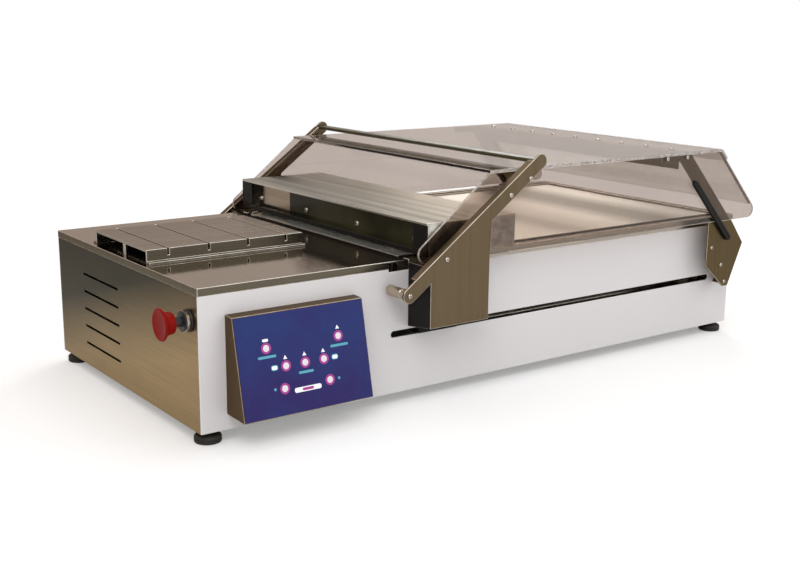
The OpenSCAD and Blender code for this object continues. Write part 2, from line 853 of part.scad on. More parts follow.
module foot_studs() color("silver") on_base() at_feet() {
  nut_h = 4;
  translate([0, 0, foot_disc_h]) cylinder(h = foot_h - foot_disc_h, r = stud_r);
  translate([0, 0, foot_h - nut_h]) cylinder(h = nut_h, r = stud_r + 4, $fn = 6);
}

// ---- Hood ----

// Points of the bracket's outline, from its top left corner anticlockwise
bracket_path = [
  [bracket_x, bracket_high],
  [bracket_x, z_top - bracket_left],
  [base_l - 47, z_top - bracket_foot],
  [base_l - 35, z_top - bracket_foot],
  [bracket_end_x, bracket_mid],
  [bracket_top_x, bracket_high]
];
// Places of the bracket's screws, from its left edge and below the rim
bracket_bolts = [[10.6, 43], [35.7, 73.4], [46.5, 102]];
bracket_bolt_r = 3.2;

// An edge moved to its left by d
function left_of(a, b) = let (u = unit(b - a)) [-u[1], u[0]];
function shift_edge(a, b, d) = [a + left_of(a, b) * d, b + left_of(a, b) * d];

// The bracket is a plate with a flange along its lower right edge, and a spacer behind its middle screw
module hood_bracket() {
  side = shift_edge(bracket_path[3], bracket_path[4], bracket_t);
  side_sheet([-y_hood, -y_hood + bracket_t]) polygon(bracket_path);
  side_sheet([-y_hood + bracket_t, -y_panel]) polygon([bracket_path[3], bracket_path[4], side[1], side[0]]);
  spacer = bracket_bolts[1];
  translate([bracket_x + spacer[0], 0, z_top - spacer[1]])
    rod_y([-y_hood + bracket_t, -y_panel], bracket_bolt_r + 1.5);
}

module hood_bracket_front() color("tan") on_base() hood_bracket();

module hood_bracket_back() color("tan") on_base() at_back() hood_bracket();

slope_run = 1 / tan(hood_slope_a);
slope_wide = 1 / sin(hood_slope_a);

// The arms' right edge at height z; it goes on along the brackets' slanted edge
function rib_edge(z) = bracket_top_x + (bracket_high - z) * slope_run;

// A strip along the hood's slope between two heights, from d0 to d1 behind the arms' right edge
module slope_strip(d0, d1, z)
  polygon([
    [rib_edge(z[0]) - d1 * slope_wide, z[0]],
    [rib_edge(z[0]) - d0 * slope_wide, z[0]],
    [rib_edge(z[1]) - d0 * slope_wide, z[1]],
    [rib_edge(z[1]) - d1 * slope_wide, z[1]]
  ]);

// Places of the screws that hold a wall to the arm's upper tab, from the cross plate
wall_bolts = [-43, 1];
wall_bolt_r = 3.2;
tab_h = 10;
cross_in = 12.6;
cross_x = rib_edge(hood_under) - cross_in;
cross_flange = 20;
y_cross = y_rib - rib_d;

// Each arm is an angle with its fold along the right edge, and a tab along the top of its wall
module hood_arms() color("tan") on_base() both_sides() {
  z = [rib_foot, hood_under];
  fold_y = [-y_rib + bracket_t, -y_rib + rib_d];
  tab_x = cross_x + wall_bolts[0] - 3 * wall_bolt_r;
  side_sheet([-y_rib, -y_rib + bracket_t]) union() {
    slope_strip(0, rib_w, z);
    translate([tab_x, hood_under - tab_h]) square([rib_edge(hood_under) - tab_x, tab_h]);
  }
  side_sheet(fold_y) slope_strip(0, bracket_t, z);
}

module hood_cross_plate() color("tan") on_base() {
  block([cross_x, cross_x + sheet_t], [-y_cross, y_cross], [hood_under - cross_h, hood_under]);
  block([cross_x + sheet_t, cross_x + cross_flange], [-y_cross, y_cross], [hood_under - sheet_t, hood_under]);
}

// Corners on the hood's outer slope: at the walls' top, and d mm further down the slope
function on_slope(z) = [hood_end_x + (hood_high - z) * slope_run, z];
wall_corner = on_slope(hood_under);
slope_dir = [cos(hood_slope_a), -sin(hood_slope_a)];
slope_out = [sin(hood_slope_a), cos(hood_slope_a)];
bend_in = hood_bend_r - hood_t;
wall_bend = bend_in + 1;

// The top sheet lies on the walls; its lip is bent down over their slope
module hood_top_sheet() color("rosybrown", 0.5) on_base() {
  lip_in = wall_corner + slope_dir * hood_lip;
  lip_out = lip_in + slope_out * hood_t;
  top_out = wall_corner + [hood_t * tan(hood_slope_a / 2), hood_t];
  side_sheet([-y_hood, y_hood]) polygon(rounded(
    [[hood_x, hood_high], [hood_x, hood_under], wall_corner, lip_in, lip_out, top_out],
    [0, 0, bend_in, 0, 0, hood_bend_r]
  ));
}

// The end sheet closes the slope between the walls
module hood_end_sheet() color("rosybrown", 0.5) on_base() {
  foot = on_slope(hood_low + hood_corner_r * (1 + cos(hood_slope_a)) + end_sheet_rise);
  back = hood_t * slope_wide;
  side_sheet([-y_hood_in, y_hood_in]) polygon(rounded(
    [wall_corner - [back, 0], foot - [back, 0], foot, wall_corner],
    [0, 0, 0, wall_bend]
  ));
}

module hood_wall()
  side_sheet([-y_hood, -y_hood_in]) polygon(rounded(
    [
      [hood_x, hood_under], [mouth_x, hood_low], [slope_x, hood_low], wall_corner
    ],
    [0, hood_corner_r, hood_corner_r, wall_bend]
  ));

module hood_front_wall() color("rosybrown", 0.5) on_base() hood_wall();

module hood_back_wall() color("rosybrown", 0.5) on_base() at_back() hood_wall();

// The bars lie along the arms, outside the walls and the brackets
clamp_low = bracket_mid + 13;

module hood_clamp_bars() color("black") on_base() both_sides()
  side_sheet([-y_hood - clamp_t, -y_hood])
    translate([rib_edge(clamp_low) - clamp_in * slope_wide, clamp_low]) rotate(180 - hood_slope_a) {
      translate([0, -clamp_w / 2]) square([clamp_l, clamp_w]);
      circle(clamp_w / 2);
      translate([clamp_l, 0]) circle(clamp_w / 2);
    }

module hood_screws() color("silver") on_base()
  for (i = [0 : cross_n - 1])
    translate([cross_x + (cross_flange + sheet_t) / 2, (i - (cross_n - 1) / 2) * cross_pitch, hood_high])
      cylinder(h = 2, r1 = 4, r2 = 2.6);

module wall_screws() color("silver") on_base() both_sides()
  for (x = wall_bolts)
    translate([cross_x + x, -y_hood, hood_under - wall_bolt_r - 0.6]) screw_head(wall_bolt_r, 2);

module bracket_screws() color("silver") on_base() both_sides()
  for (b = bracket_bolts)
    translate([bracket_x + b[0], -y_hood, z_top - b[1]]) screw_head(bracket_bolt_r, 2);

// ---- Bridge ----

module bridge_cross_bar() color("black") on_base()
  block([leg_x, leg_x + leg_w], [-y_hanger, y_hanger], [bar_low, bar_high]);

// Each hanger steps from the bar's end, close to the panel, out to its side plate
module plate_hangers() color("black") on_base() both_sides() {
  foot = side_low + 6;
  end_sheet([leg_x, leg_x + leg_w]) polygon([
    [-y_hanger, bar_high], [-y_hanger + hanger_t, bar_high],
    [-y_hanger + hanger_t, hanger_high], [-y_plate, hanger_high],
    [-y_plate, foot], [-y_plate + hanger_t, foot],
    [-y_plate + hanger_t, hanger_high - hanger_t], [-y_hanger, hanger_high - hanger_t]
  ]);
}

module bearing_blocks() color("silver") on_base() both_sides() difference() {
  block(
    [leg_x, leg_x + leg_w],
    [-rod_y - bearing_w / 2, -rod_y + bearing_w / 2],
    [rod_mid - rod_r - rod_wall, bar_low]
  );
  translate([0, -rod_y, rod_mid]) rod_x([leg_x - 1, leg_x + leg_w + 1], rod_r + bearing_fit);
}

// The clamp hangs from the cross bar beside the belt's back run
module belt_clamp() color("silver") on_base() {
  run_y = pulley_r + belt_t / 2 + belt_play_r;
  inset = 12;
  jaw_t = 8;
  block([leg_x + inset, leg_x + leg_w - inset], [run_y, run_y + jaw_t], [belt_mid - belt_w / 2, bar_low]);
}

// The legs stand behind the tool rail
module bridge_legs() color("silver") on_base() both_sides()
  block([rail_x + rail_t, leg_x + leg_w], [-y_leg, -y_leg + leg_t], [bar_high, beam_under]);

side_end_x = side_x + side_w;
arm_rise = tan(arm_a);

// Height of the arm's middle line above a point of the floor
function arm_line(x) = arm_z + (x - arm_x) * arm_rise;

// The plate's outline: it runs up to the arm's middle line, and its right edge leans out a little
module plate_outline() {
  lean = 3.5;
  lean_low = z_top - 6;
  polygon([
    [side_x, side_low], [side_end_x, side_low], [side_end_x, lean_low],
    [side_end_x + lean, arm_line(side_end_x + lean)], [side_x, arm_line(side_x)]
  ]);
}

module arm_outline() translate([arm_x, arm_z]) rotate(arm_a) {
  translate([0, -arm_w / 2]) square([arm_l, arm_w]);
  circle(arm_w / 2);
  translate([arm_l, 0]) circle(arm_w / 2);
}

module side_plate() {
  y_in = -y_plate;
  flange_top = z_top - 3.4;
  flange_low = side_low - 6;
  side_sheet([y_in - plate_t, y_in]) union() {
    plate_outline();
    arm_outline();
  }
  end_sheet([side_x, side_x + plate_t]) polygon([
    [y_in, side_low], [-y_panel - flange_gap, flange_low],
    [-y_panel - flange_gap, flange_top], [y_in, flange_top]
  ]);
  side_sheet([y_in, y_in + arm_flange - plate_t])
    translate([arm_x, arm_z]) rotate(arm_a)
      translate([arm_w, arm_w / 2 - plate_t]) square([arm_l - 1.5 * arm_w, plate_t]);
}

module side_plate_front() color("tan") on_base() side_plate();

module side_plate_back() color("tan") on_base() at_back() side_plate();

module arm_bumpers() color("tan") on_base() both_sides()
  translate([arm_x, 0, arm_z]) rod_y([-y_plate, -y_panel - bumper_gap], bumper_r);

module top_bar() color("dimgray") on_base()
  side_sheet([-y_plate, y_plate]) translate([arm_tip_x, arm_tip_z])
    square([top_bar_w, top_bar_t], center = true);

module bridge_bolts() color("silver") on_base() both_sides()
  for (p = [
    [side_x + 26, arm_line(side_x + 26) - 2], [side_end_x + 34, arm_line(side_end_x + 34) - 4],
    [arm_x, arm_z], [arm_tip_x - 18, arm_tip_z - 22]
  ])
    translate([p[0], -y_plate - plate_t, p[1]]) screw_head(3.6, 2.4);

// ---- Beam: a folded channel, open below and, behind its lip, to the left ----

module beam_housing() color("silver") on_base() {
  y = [-y_beam, y_beam];
  block([beam_x, beam_end_x], y, [beam_under, beam_high]);
  block([beam_x, beam_x + beam_t], y, [beam_high - beam_lip, beam_under]);
  block([beam_end_x - beam_t, beam_end_x], y, [beam_low, beam_under]);
}

module beam_end_plates() color("silver") on_base() both_sides()
  block([leg_x, beam_end_x - beam_t], [-y_beam, -y_beam + end_t], [beam_low, beam_under]);

// The black frame under the lip: an upright at each end and a strip along the lower edge
module beam_skirt() color("black") on_base()
  end_sheet([beam_x, beam_x + beam_t]) difference() {
    translate([-y_beam, beam_low]) square([2 * y_beam, beam_high - beam_lip - beam_low]);
    translate([-y_beam + skirt_end, beam_low + skirt_h])
      square([2 * (y_beam - skirt_end), beam_high - beam_low]);
  }

module tool_rail() color("dimgray") on_base()
  block([rail_x, rail_x + rail_t], [-y_leg, y_leg], [beam_low, beam_under]);

// The outer bolts hold the rail to the legs' edges
module rail_bolts() color("silver") on_base() {
  span = 2 * y_leg - leg_t;
  head_r = 4;
  head_h = 3;
  for (i = [0 : rail_bolt_n - 1])
    translate([0, (i / (rail_bolt_n - 1) - 0.5) * span, z_top + rail_bolt_z])
      rod_x([rail_x - head_h, rail_x], head_r);
}

base_pan();
front_panel();
back_panel();
left_panel();
right_panel();
deck_plate();
finger_tray();
tray_post();
bed_frame();
bed_bulkhead();
bed_shelf();
bed_tray();
insulation_board();
heater_rods();
hot_plate();
rod_supports();
guide_rods();
drive_motor();
drive_pulley();
idler_bracket();
idler_pulley();
drive_belt();
power_supply();
controller_board();
fan_frame();
fan_rotor();
power_inlet();
console_housing();
membrane_keypad();
estop_collar();
estop_button();
foot_discs();
foot_studs();
hood_bracket_front();
hood_bracket_back();
hood_arms();
hood_cross_plate();
hood_top_sheet();
hood_end_sheet();
hood_front_wall();
hood_back_wall();
hood_clamp_bars();
hood_screws();
wall_screws();
bracket_screws();
bridge_cross_bar();
plate_hangers();
bearing_blocks();
belt_clamp();
bridge_legs();
side_plate_front();
side_plate_back();
arm_bumpers();
top_bar();
bridge_bolts();
beam_housing();
beam_end_plates();
beam_skirt();
tool_rail();
rail_bolts();
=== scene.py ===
import json
import math
import bpy
import bmesh
from mathutils import Matrix, Vector

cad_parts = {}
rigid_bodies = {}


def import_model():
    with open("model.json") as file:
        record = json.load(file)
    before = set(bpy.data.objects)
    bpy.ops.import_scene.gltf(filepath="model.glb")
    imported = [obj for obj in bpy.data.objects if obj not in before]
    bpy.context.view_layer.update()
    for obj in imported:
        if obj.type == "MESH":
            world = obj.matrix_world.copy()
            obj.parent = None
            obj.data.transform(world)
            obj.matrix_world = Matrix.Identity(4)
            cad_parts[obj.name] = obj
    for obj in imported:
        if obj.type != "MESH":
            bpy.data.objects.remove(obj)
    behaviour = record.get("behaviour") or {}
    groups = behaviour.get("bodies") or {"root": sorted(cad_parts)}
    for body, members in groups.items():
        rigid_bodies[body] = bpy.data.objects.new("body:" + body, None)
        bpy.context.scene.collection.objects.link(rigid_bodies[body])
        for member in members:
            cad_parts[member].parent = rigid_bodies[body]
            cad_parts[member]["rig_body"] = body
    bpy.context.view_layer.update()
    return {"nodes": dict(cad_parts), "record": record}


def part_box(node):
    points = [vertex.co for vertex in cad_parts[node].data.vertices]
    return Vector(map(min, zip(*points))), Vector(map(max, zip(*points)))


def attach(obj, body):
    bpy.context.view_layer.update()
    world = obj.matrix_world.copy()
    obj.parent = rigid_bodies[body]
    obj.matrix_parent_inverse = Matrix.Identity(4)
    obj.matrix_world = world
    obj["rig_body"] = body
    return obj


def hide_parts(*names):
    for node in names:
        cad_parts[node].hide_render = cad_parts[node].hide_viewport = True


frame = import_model()
nodes = frame["nodes"]
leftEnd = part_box("front_panel")[0].x  # the base's left end; lengths along the bed count from here
print("frame loaded:", len(nodes), "nodes")


def along(mm):
    return leftEnd + mm / 1000


# Camera: place in m, angles in degrees, lens and sensor in mm
camera = {
    "fromLeftEnd": -0.597186, "y": -1.44143, "z": 0.51293,
    "yaw": 36.152, "pitch": 13.383, "roll": 0.541,
    "lens": 53.197, "sensor": 36.0, "clip": (0.05, 50),
}


def makeCamera(c):
    yaw, pitch, roll = (math.radians(c[k]) for k in ("yaw", "pitch", "roll"))
    level = math.cos(pitch)
    look = Vector((math.sin(yaw) * level, math.cos(yaw) * level, -math.sin(pitch)))
    right = Vector((math.cos(yaw), -math.sin(yaw), 0))
    up = right.cross(look)
    right = right * math.cos(roll) + up * math.sin(roll)
    up = right.cross(look)
    data = bpy.data.cameras.new("camera")
    data.lens, data.sensor_width = c["lens"], c["sensor"]
    data.sensor_fit = "HORIZONTAL"
    data.clip_start, data.clip_end = c["clip"]
    cam = bpy.data.objects.new("camera", data)
    bpy.context.collection.objects.link(cam)
    rows = Matrix((right, up, -look)).transposed().to_4x4()
    rows.translation = Vector((leftEnd + c["fromLeftEnd"], c["y"], c["z"]))
    cam.matrix_world = rows
    bpy.context.scene.camera = cam


makeCamera(camera)
print("camera")


# Shader helpers: each adds one node and gives its result
def plug(lk, socket, value):
    if isinstance(value, bpy.types.NodeSocket):
        lk.new(value, socket)
    elif isinstance(value, (tuple, list)) and len(value) == 3 and socket.type == "RGBA":
        socket.default_value = (*value, 1)
    else:
        socket.default_value = value


def mixColour(nd, lk, factor, a, b, blend="MIX"):
    mix = nd.new("ShaderNodeMix")
    mix.data_type = "RGBA"
    mix.blend_type = blend
    for socket, value in ((mix.inputs[0], factor), (mix.inputs[6], a), (mix.inputs[7], b)):
        plug(lk, socket, value)
    return mix.outputs[2]


def maths(nd, lk, op, a, b=None, clamp=False):
    m = nd.new("ShaderNodeMath")
    m.operation = op
    m.use_clamp = clamp
    plug(lk, m.inputs[0], a)
    if b is not None:
        plug(lk, m.inputs[1], b)
    return m.outputs[0]


def times(nd, lk, a, b, clamp=False):
    return maths(nd, lk, "MULTIPLY", a, b, clamp)


def ranged(nd, lk, value, low, high, a=0.0, b=1.0):
    m = nd.new("ShaderNodeMapRange")
    for socket, v in zip(m.inputs, (value, low, high, a, b)):
        plug(lk, socket, v)
    return m.outputs[0]


def noise(nd, lk, vector, scale, detail=3.0, rough=0.5):
    n = nd.new("ShaderNodeTexNoise")
    n.inputs["Scale"].default_value = scale
    n.inputs["Detail"].default_value = detail
    n.inputs["Roughness"].default_value = rough
    lk.new(vector, n.inputs["Vector"])
    return n.outputs["Fac"]


def stretched(nd, lk, vector, scale):
    m = nd.new("ShaderNodeMapping")
    m.inputs["Scale"].default_value = scale
    lk.new(vector, m.inputs["Vector"])
    return m.outputs["Vector"]


def separated(nd, lk, vector):
    part = nd.new("ShaderNodeSeparateXYZ")
    lk.new(vector, part.inputs[0])
    return part.outputs


def newGroup(name, inputs, outputs):
    group = bpy.data.node_groups.new(name, "ShaderNodeTree")
    for way, sockets in (("INPUT", inputs), ("OUTPUT", outputs)):
        for label, kind, value in sockets:
            made = group.interface.new_socket(
                name=label, in_out=way, socket_type="NodeSocket" + kind)
            if value is not None:
                made.default_value = value
    nd = group.nodes
    return group, nd, group.links, nd.new("NodeGroupInput"), nd.new("NodeGroupOutput")


# Drawn lines on steel: each noise's scale, detail and roughness, its range and its share
grain = {
    "fine": (1.0, 4.0, 0.65), "fineShare": 0.6, "broad": (0.22, 2.0, 0.5), "broadShare": 0.4,
    "lineRange": (0.25, 0.75), "lineShare": 0.82,
    "smudge": (5.0, 3.0, 0.5), "smudgeRange": (0.35, 0.7), "smudgeShare": 0.18, "smudgeShine": 0.35,
}


def makeGrainGroup(p):  # the vector comes in stretched along the sheet
    group, nd, lk, gin, gout = newGroup(
        "drawnGrain",
        [("Vector", "Vector", None), ("Smudge Vector", "Vector", None),
         ("Light", "Color", (0.5, 0.5, 0.5, 1)), ("Dark", "Color", (0.3, 0.3, 0.3, 1)),
         ("Rough Low", "Float", 0.2), ("Rough High", "Float", 0.4)],
        [("Colour", "Color", None), ("Roughness", "Float", None), ("Height", "Float", None)],
    )
    fine = noise(nd, lk, gin.outputs["Vector"], *p["fine"])
    broad = noise(nd, lk, gin.outputs["Vector"], *p["broad"])
    both = maths(nd, lk, "ADD", times(nd, lk, fine, p["fineShare"]),
                 times(nd, lk, broad, p["broadShare"]))
    lines = ranged(nd, lk, both, *p["lineRange"])
    smudge = noise(nd, lk, gin.outputs["Smudge Vector"], *p["smudge"])
    cloud = ranged(nd, lk, smudge, *p["smudgeRange"])
    mask = maths(nd, lk, "ADD", times(nd, lk, lines, p["lineShare"]),
                 times(nd, lk, cloud, p["smudgeShare"]), True)
    tone = mixColour(nd, lk, mask, gin.outputs["Dark"], gin.outputs["Light"])
    lk.new(tone, gout.inputs["Colour"])
    shine = maths(nd, lk, "SUBTRACT", lines, times(nd, lk, cloud, p["smudgeShine"]))
    rough = ranged(nd, lk, shine, -p["smudgeShine"], 1.0,
                   gin.outputs["Rough Low"], gin.outputs["Rough High"])
    lk.new(rough, gout.inputs["Roughness"])
    lk.new(lines, gout.inputs["Height"])
    return group


# Worn arrises, brightened as a painted highlight: the patches' noise, their range and the least
# share between them
arrisWearAndHighlight = {"patches": (60.0, 4.0, 0.6), "range": (0.3, 0.62), "least": 0.45}


def makeEdgeGroup(p):  # Edge is 1 on a piece's bevels
    group, nd, lk, gin, gout = newGroup(
        "brightEdge",
        [("Edge", "Float", 0.0), ("Vector", "Vector", None), ("Amount", "Float", 0.8)],
        [("Mask", "Float", None)],
    )
    patches = noise(nd, lk, gin.outputs["Vector"], *p["patches"])
    patchy = ranged(nd, lk, patches, *p["range"], p["least"])
    wornAndHighlit = times(nd, lk, times(nd, lk, gin.outputs["Edge"], patchy), gin.outputs["Amount"], True)
    lk.new(wornAndHighlit, gout.inputs["Mask"])
    return group


# Dust on faces that look up: how upright a normal has to be, then specks in drifts
dust = {
    "upFrom": 0.5, "specks": (220.0, 6.0, 0.75), "speckRange": (0.42, 0.8),
    "drift": (6.0, 3.0), "driftRange": (0.3, 0.75), "driftLeast": 0.2,
}


def makeDustGroup(p):
    group, nd, lk, gin, gout = newGroup(
        "restingDust",
        [("Vector", "Vector", None), ("Normal", "Vector", None), ("Amount", "Float", 0.2)],
        [("Mask", "Float", None)],
    )
    upward = ranged(nd, lk, separated(nd, lk, gin.outputs["Normal"])["Z"], p["upFrom"], 1.0)
    specks = ranged(nd, lk, noise(nd, lk, gin.outputs["Vector"], *p["specks"]), *p["speckRange"])
    drift = noise(nd, lk, gin.outputs["Vector"], *p["drift"])
    drift = ranged(nd, lk, drift, *p["driftRange"], p["driftLeast"])
    amount = times(nd, lk, drift, gin.outputs["Amount"])
    lk.new(times(nd, lk, times(nd, lk, upward, specks), amount, True), gout.inputs["Mask"])
    return group


grainGroup = makeGrainGroup(grain)
edgeGroup = makeEdgeGroup(arrisWearAndHighlight)
dustGroup = makeDustGroup(dust)
print("shader groups")


def newMaterial(name):
    mat = bpy.data.materials.new(name)
    mat.use_nodes = True
    nd, lk = mat.node_tree.nodes, mat.node_tree.links
    return mat, nd, lk, nd["Principled BSDF"], nd.new("ShaderNodeTexCoord").outputs["Object"]


def placed(nd, group):
    made = nd.new("ShaderNodeGroup")
    made.node_tree = group
    return made


def edgeMask(nd, lk, vector, amount):
    attr = nd.new("ShaderNodeAttribute")
    attr.attribute_name = "edge"
    group = placed(nd, edgeGroup)
    group.inputs["Amount"].default_value = amount
    lk.new(attr.outputs["Fac"], group.inputs["Edge"])
    lk.new(vector, group.inputs["Vector"])
    return group.outputs["Mask"]


def dustMask(nd, lk, vector, amount):
    group = placed(nd, dustGroup)
    group.inputs["Amount"].default_value = amount
    lk.new(vector, group.inputs["Vector"])
    lk.new(nd.new("ShaderNodeNewGeometry").outputs["Normal"], group.inputs["Normal"])
    return group.outputs["Mask"]


def bump(nd, lk, shader, height, strength, distance):
    b = nd.new("ShaderNodeBump")
    b.inputs["Strength"].default_value = strength
    b.inputs["Distance"].default_value = distance
    lk.new(height, b.inputs["Height"])
    lk.new(b.outputs["Normal"], shader.inputs["Normal"])


# Steel: light and dark tones, roughness range, stretch of the grain per axis, edge tone and how
# much of it shows on the bevels, as worn metal and a painted highlight
steels = {
    "plateSteel": dict(
        light=(0.205, 0.155, 0.096), dark=(0.138, 0.100, 0.058), rough=(0.24, 0.40),
        grain=(900, 900, 7), edge=(0.80, 0.74, 0.64), wear=0.95),
    "darkSteel": dict(
        light=(0.260, 0.205, 0.110), dark=(0.150, 0.115, 0.055), rough=(0.26, 0.44),
        grain=(900, 900, 8), edge=(0.5, 0.45, 0.36), wear=0.7),
    "bracketSteel": dict(
        light=(0.165, 0.120, 0.062), dark=(0.095, 0.068, 0.034), rough=(0.26, 0.42),
        grain=(900, 900, 9), edge=(0.70, 0.62, 0.50), wear=0.9),
    # the end panels' fade is painted reflection and shade: darker towards the back top, lighter and
    # warmer towards the front foot
    "endPanelSteel": dict(
        light=(0.420, 0.370, 0.290), dark=(0.240, 0.205, 0.155), rough=(0.26, 0.40),
        grain=(900, 5, 900), edge=(0.72, 0.67, 0.58), wear=0.6,
        fade=((0.0, -2.5, -9.0), 1.43, (0.17, 0.20, 0.205), (1.36, 1.14, 0.80))),
    "deckSteel": dict(
        light=(0.560, 0.570, 0.575), dark=(0.440, 0.445, 0.445), rough=(0.04, 0.12),
        grain=(900, 6, 900), edge=(0.90, 0.85, 0.78), wear=0.8, rim=(0.80, 0.72, 0.65)),
    "traySteel": dict(
        light=(0.620, 0.600, 0.570), dark=(0.350, 0.330, 0.310), rough=(0.20, 0.32),
        grain=(6, 900, 900), edge=(0.92, 0.88, 0.82), wear=0.6, rim=(0.6, 0.54, 0.48)),
    "shadedSteel": dict(
        light=(0.190, 0.165, 0.125), dark=(0.120, 0.102, 0.074), rough=(0.20, 0.34),
        grain=(6, 900, 900), edge=(0.85, 0.80, 0.70), wear=0.9),
    "rimSteel": dict(
        light=(0.520, 0.475, 0.410), dark=(0.330, 0.290, 0.240), rough=(0.18, 0.34),
        grain=(5, 900, 900), edge=(0.9, 0.86, 0.78), wear=1.0),
    "bedSteel": dict(
        light=(0.940, 0.975, 0.970), dark=(0.820, 0.840, 0.825), rough=(0.34, 0.46),
        grain=(500, 1.5, 500), edge=(0.97, 0.94, 0.90), wear=1.0,
        rim=(0.95, 0.92, 0.88), relief=0.02,
        bands=[(along(832), 0.02, 0.075, (0.36, 0.36, 0.35)),
               (along(650), 0.01, 0.04, (0.78, 0.78, 0.77))]),
    # beam steel: its light tone is raised as painted light, standing in for lamp light on the beam
    # top
    "beamSteel": dict(
        light=(0.930, 0.950, 0.900), dark=(0.720, 0.730, 0.690), rough=(0.22, 0.38),
        grain=(900, 6, 900), edge=(0.86, 0.80, 0.68), wear=1.0, rim=(0.5, 0.46, 0.42),
        streaks=((60, 1.2, 60), 0.45)),
    "paleSteel": dict(
        light=(0.58, 0.50, 0.40), dark=(0.40, 0.34, 0.27), rough=(0.14, 0.28),
        grain=(400, 8, 400), edge=(0.92, 0.86, 0.78), wear=0.8),
    "consoleSteel": dict(
        light=(0.165, 0.112, 0.060), dark=(0.090, 0.060, 0.032), rough=(0.26, 0.42),
        grain=(900, 900, 7), edge=(0.62, 0.50, 0.38), wear=1.0),
    "interiorSteel": dict(
        light=(0.62, 0.60, 0.56), dark=(0.48, 0.46, 0.42), rough=(0.28, 0.42),
        grain=(6, 500, 500), edge=(0.8, 0.8, 0.78), wear=0.5),
    "boltSteel": dict(
        light=(0.62, 0.58, 0.52), dark=(0.40, 0.36, 0.31), rough=(0.15, 0.3),
        grain=(400, 400, 400), edge=(0.9, 0.88, 0.84), wear=0.9),
    "castMetal": dict(
        light=(0.68, 0.68, 0.68), dark=(0.52, 0.52, 0.52), rough=(0.3, 0.45),
        grain=(120, 120, 120), edge=(0.85, 0.85, 0.85), wear=0.6),
}
# What all the steels share, apart from a rim (the tint at a glancing angle) or relief of their own
anySteel = {
    "rim": (0.75, 0.72, 0.68), "relief": 0.1, "depth": 0.0002, "streakRange": (0.35, 0.65),
    "dust": 0.12, "dustTone": (0.62, 0.58, 0.52), "dustRough": 0.3,
}


def steelMaterial(name, own):
    s = {**anySteel, **own}
    mat, nd, lk, shader, vector = newMaterial(name)
    lines = placed(nd, grainGroup)
    lk.new(stretched(nd, lk, vector, s["grain"]), lines.inputs["Vector"])
    lk.new(vector, lines.inputs["Smudge Vector"])
    plug(lk, lines.inputs["Light"], s["light"])
    plug(lk, lines.inputs["Dark"], s["dark"])
    lines.inputs["Rough Low"].default_value, lines.inputs["Rough High"].default_value = s["rough"]
    body = lines.outputs["Colour"]
    if "fade" in s:  # painted reflection and shade: the sheet darkens along an axis towards the back top and turns lighter and warmer towards the front foot; direction, offset, far and near tone
        axis, offset, far, near = s["fade"]
        place = nd.new("ShaderNodeVectorMath")
        place.operation = "DOT_PRODUCT"
        place.inputs[1].default_value = axis
        lk.new(vector, place.inputs[0])
        reach = ranged(nd, lk, maths(nd, lk, "ADD", place.outputs["Value"], offset), 0.0, 1.0)
        body = mixColour(nd, lk, 1.0, body, mixColour(nd, lk, reach, far, near), "MULTIPLY")
    if "streaks" in s:  # long soft bands: stretch per axis, and how far the darkest falls
        stretch, fall = s["streaks"]
        streak = noise(nd, lk, stretched(nd, lk, vector, stretch), 1.0)
        streak = ranged(nd, lk, streak, *s["streakRange"])
        tone = mixColour(nd, lk, streak, (1 - fall,) * 3, (1, 1, 1))
        body = mixColour(nd, lk, 1.0, body, tone, "MULTIPLY")
    for middle, core, half, shade in s.get("bands", []):  # a stripe: place and widths along X, tone
        away = maths(nd, lk, "SUBTRACT", separated(nd, lk, vector)["X"], middle)
        away = ranged(nd, lk, maths(nd, lk, "ABSOLUTE", away), core, half)
        stripe = mixColour(nd, lk, away, shade, (1, 1, 1))
        body = mixColour(nd, lk, 1.0, body, stripe, "MULTIPLY")
    # the bevels take the edge tone: worn metal and a painted highlight
    bright = mixColour(nd, lk, edgeMask(nd, lk, vector, s["wear"]), body, s["edge"])
    settled = dustMask(nd, lk, vector, s["dust"])
    lk.new(mixColour(nd, lk, settled, bright, s["dustTone"]), shader.inputs["Base Color"])
    rough = times(nd, lk, settled, s["dustRough"])
    rough = maths(nd, lk, "ADD", lines.outputs["Roughness"], rough, True)
    lk.new(rough, shader.inputs["Roughness"])
    shader.inputs["Metallic"].default_value = 1.0
    plug(lk, shader.inputs["Specular Tint"], s["rim"])
    bump(nd, lk, shader, lines.outputs["Height"], s["relief"], s["depth"])
    return mat


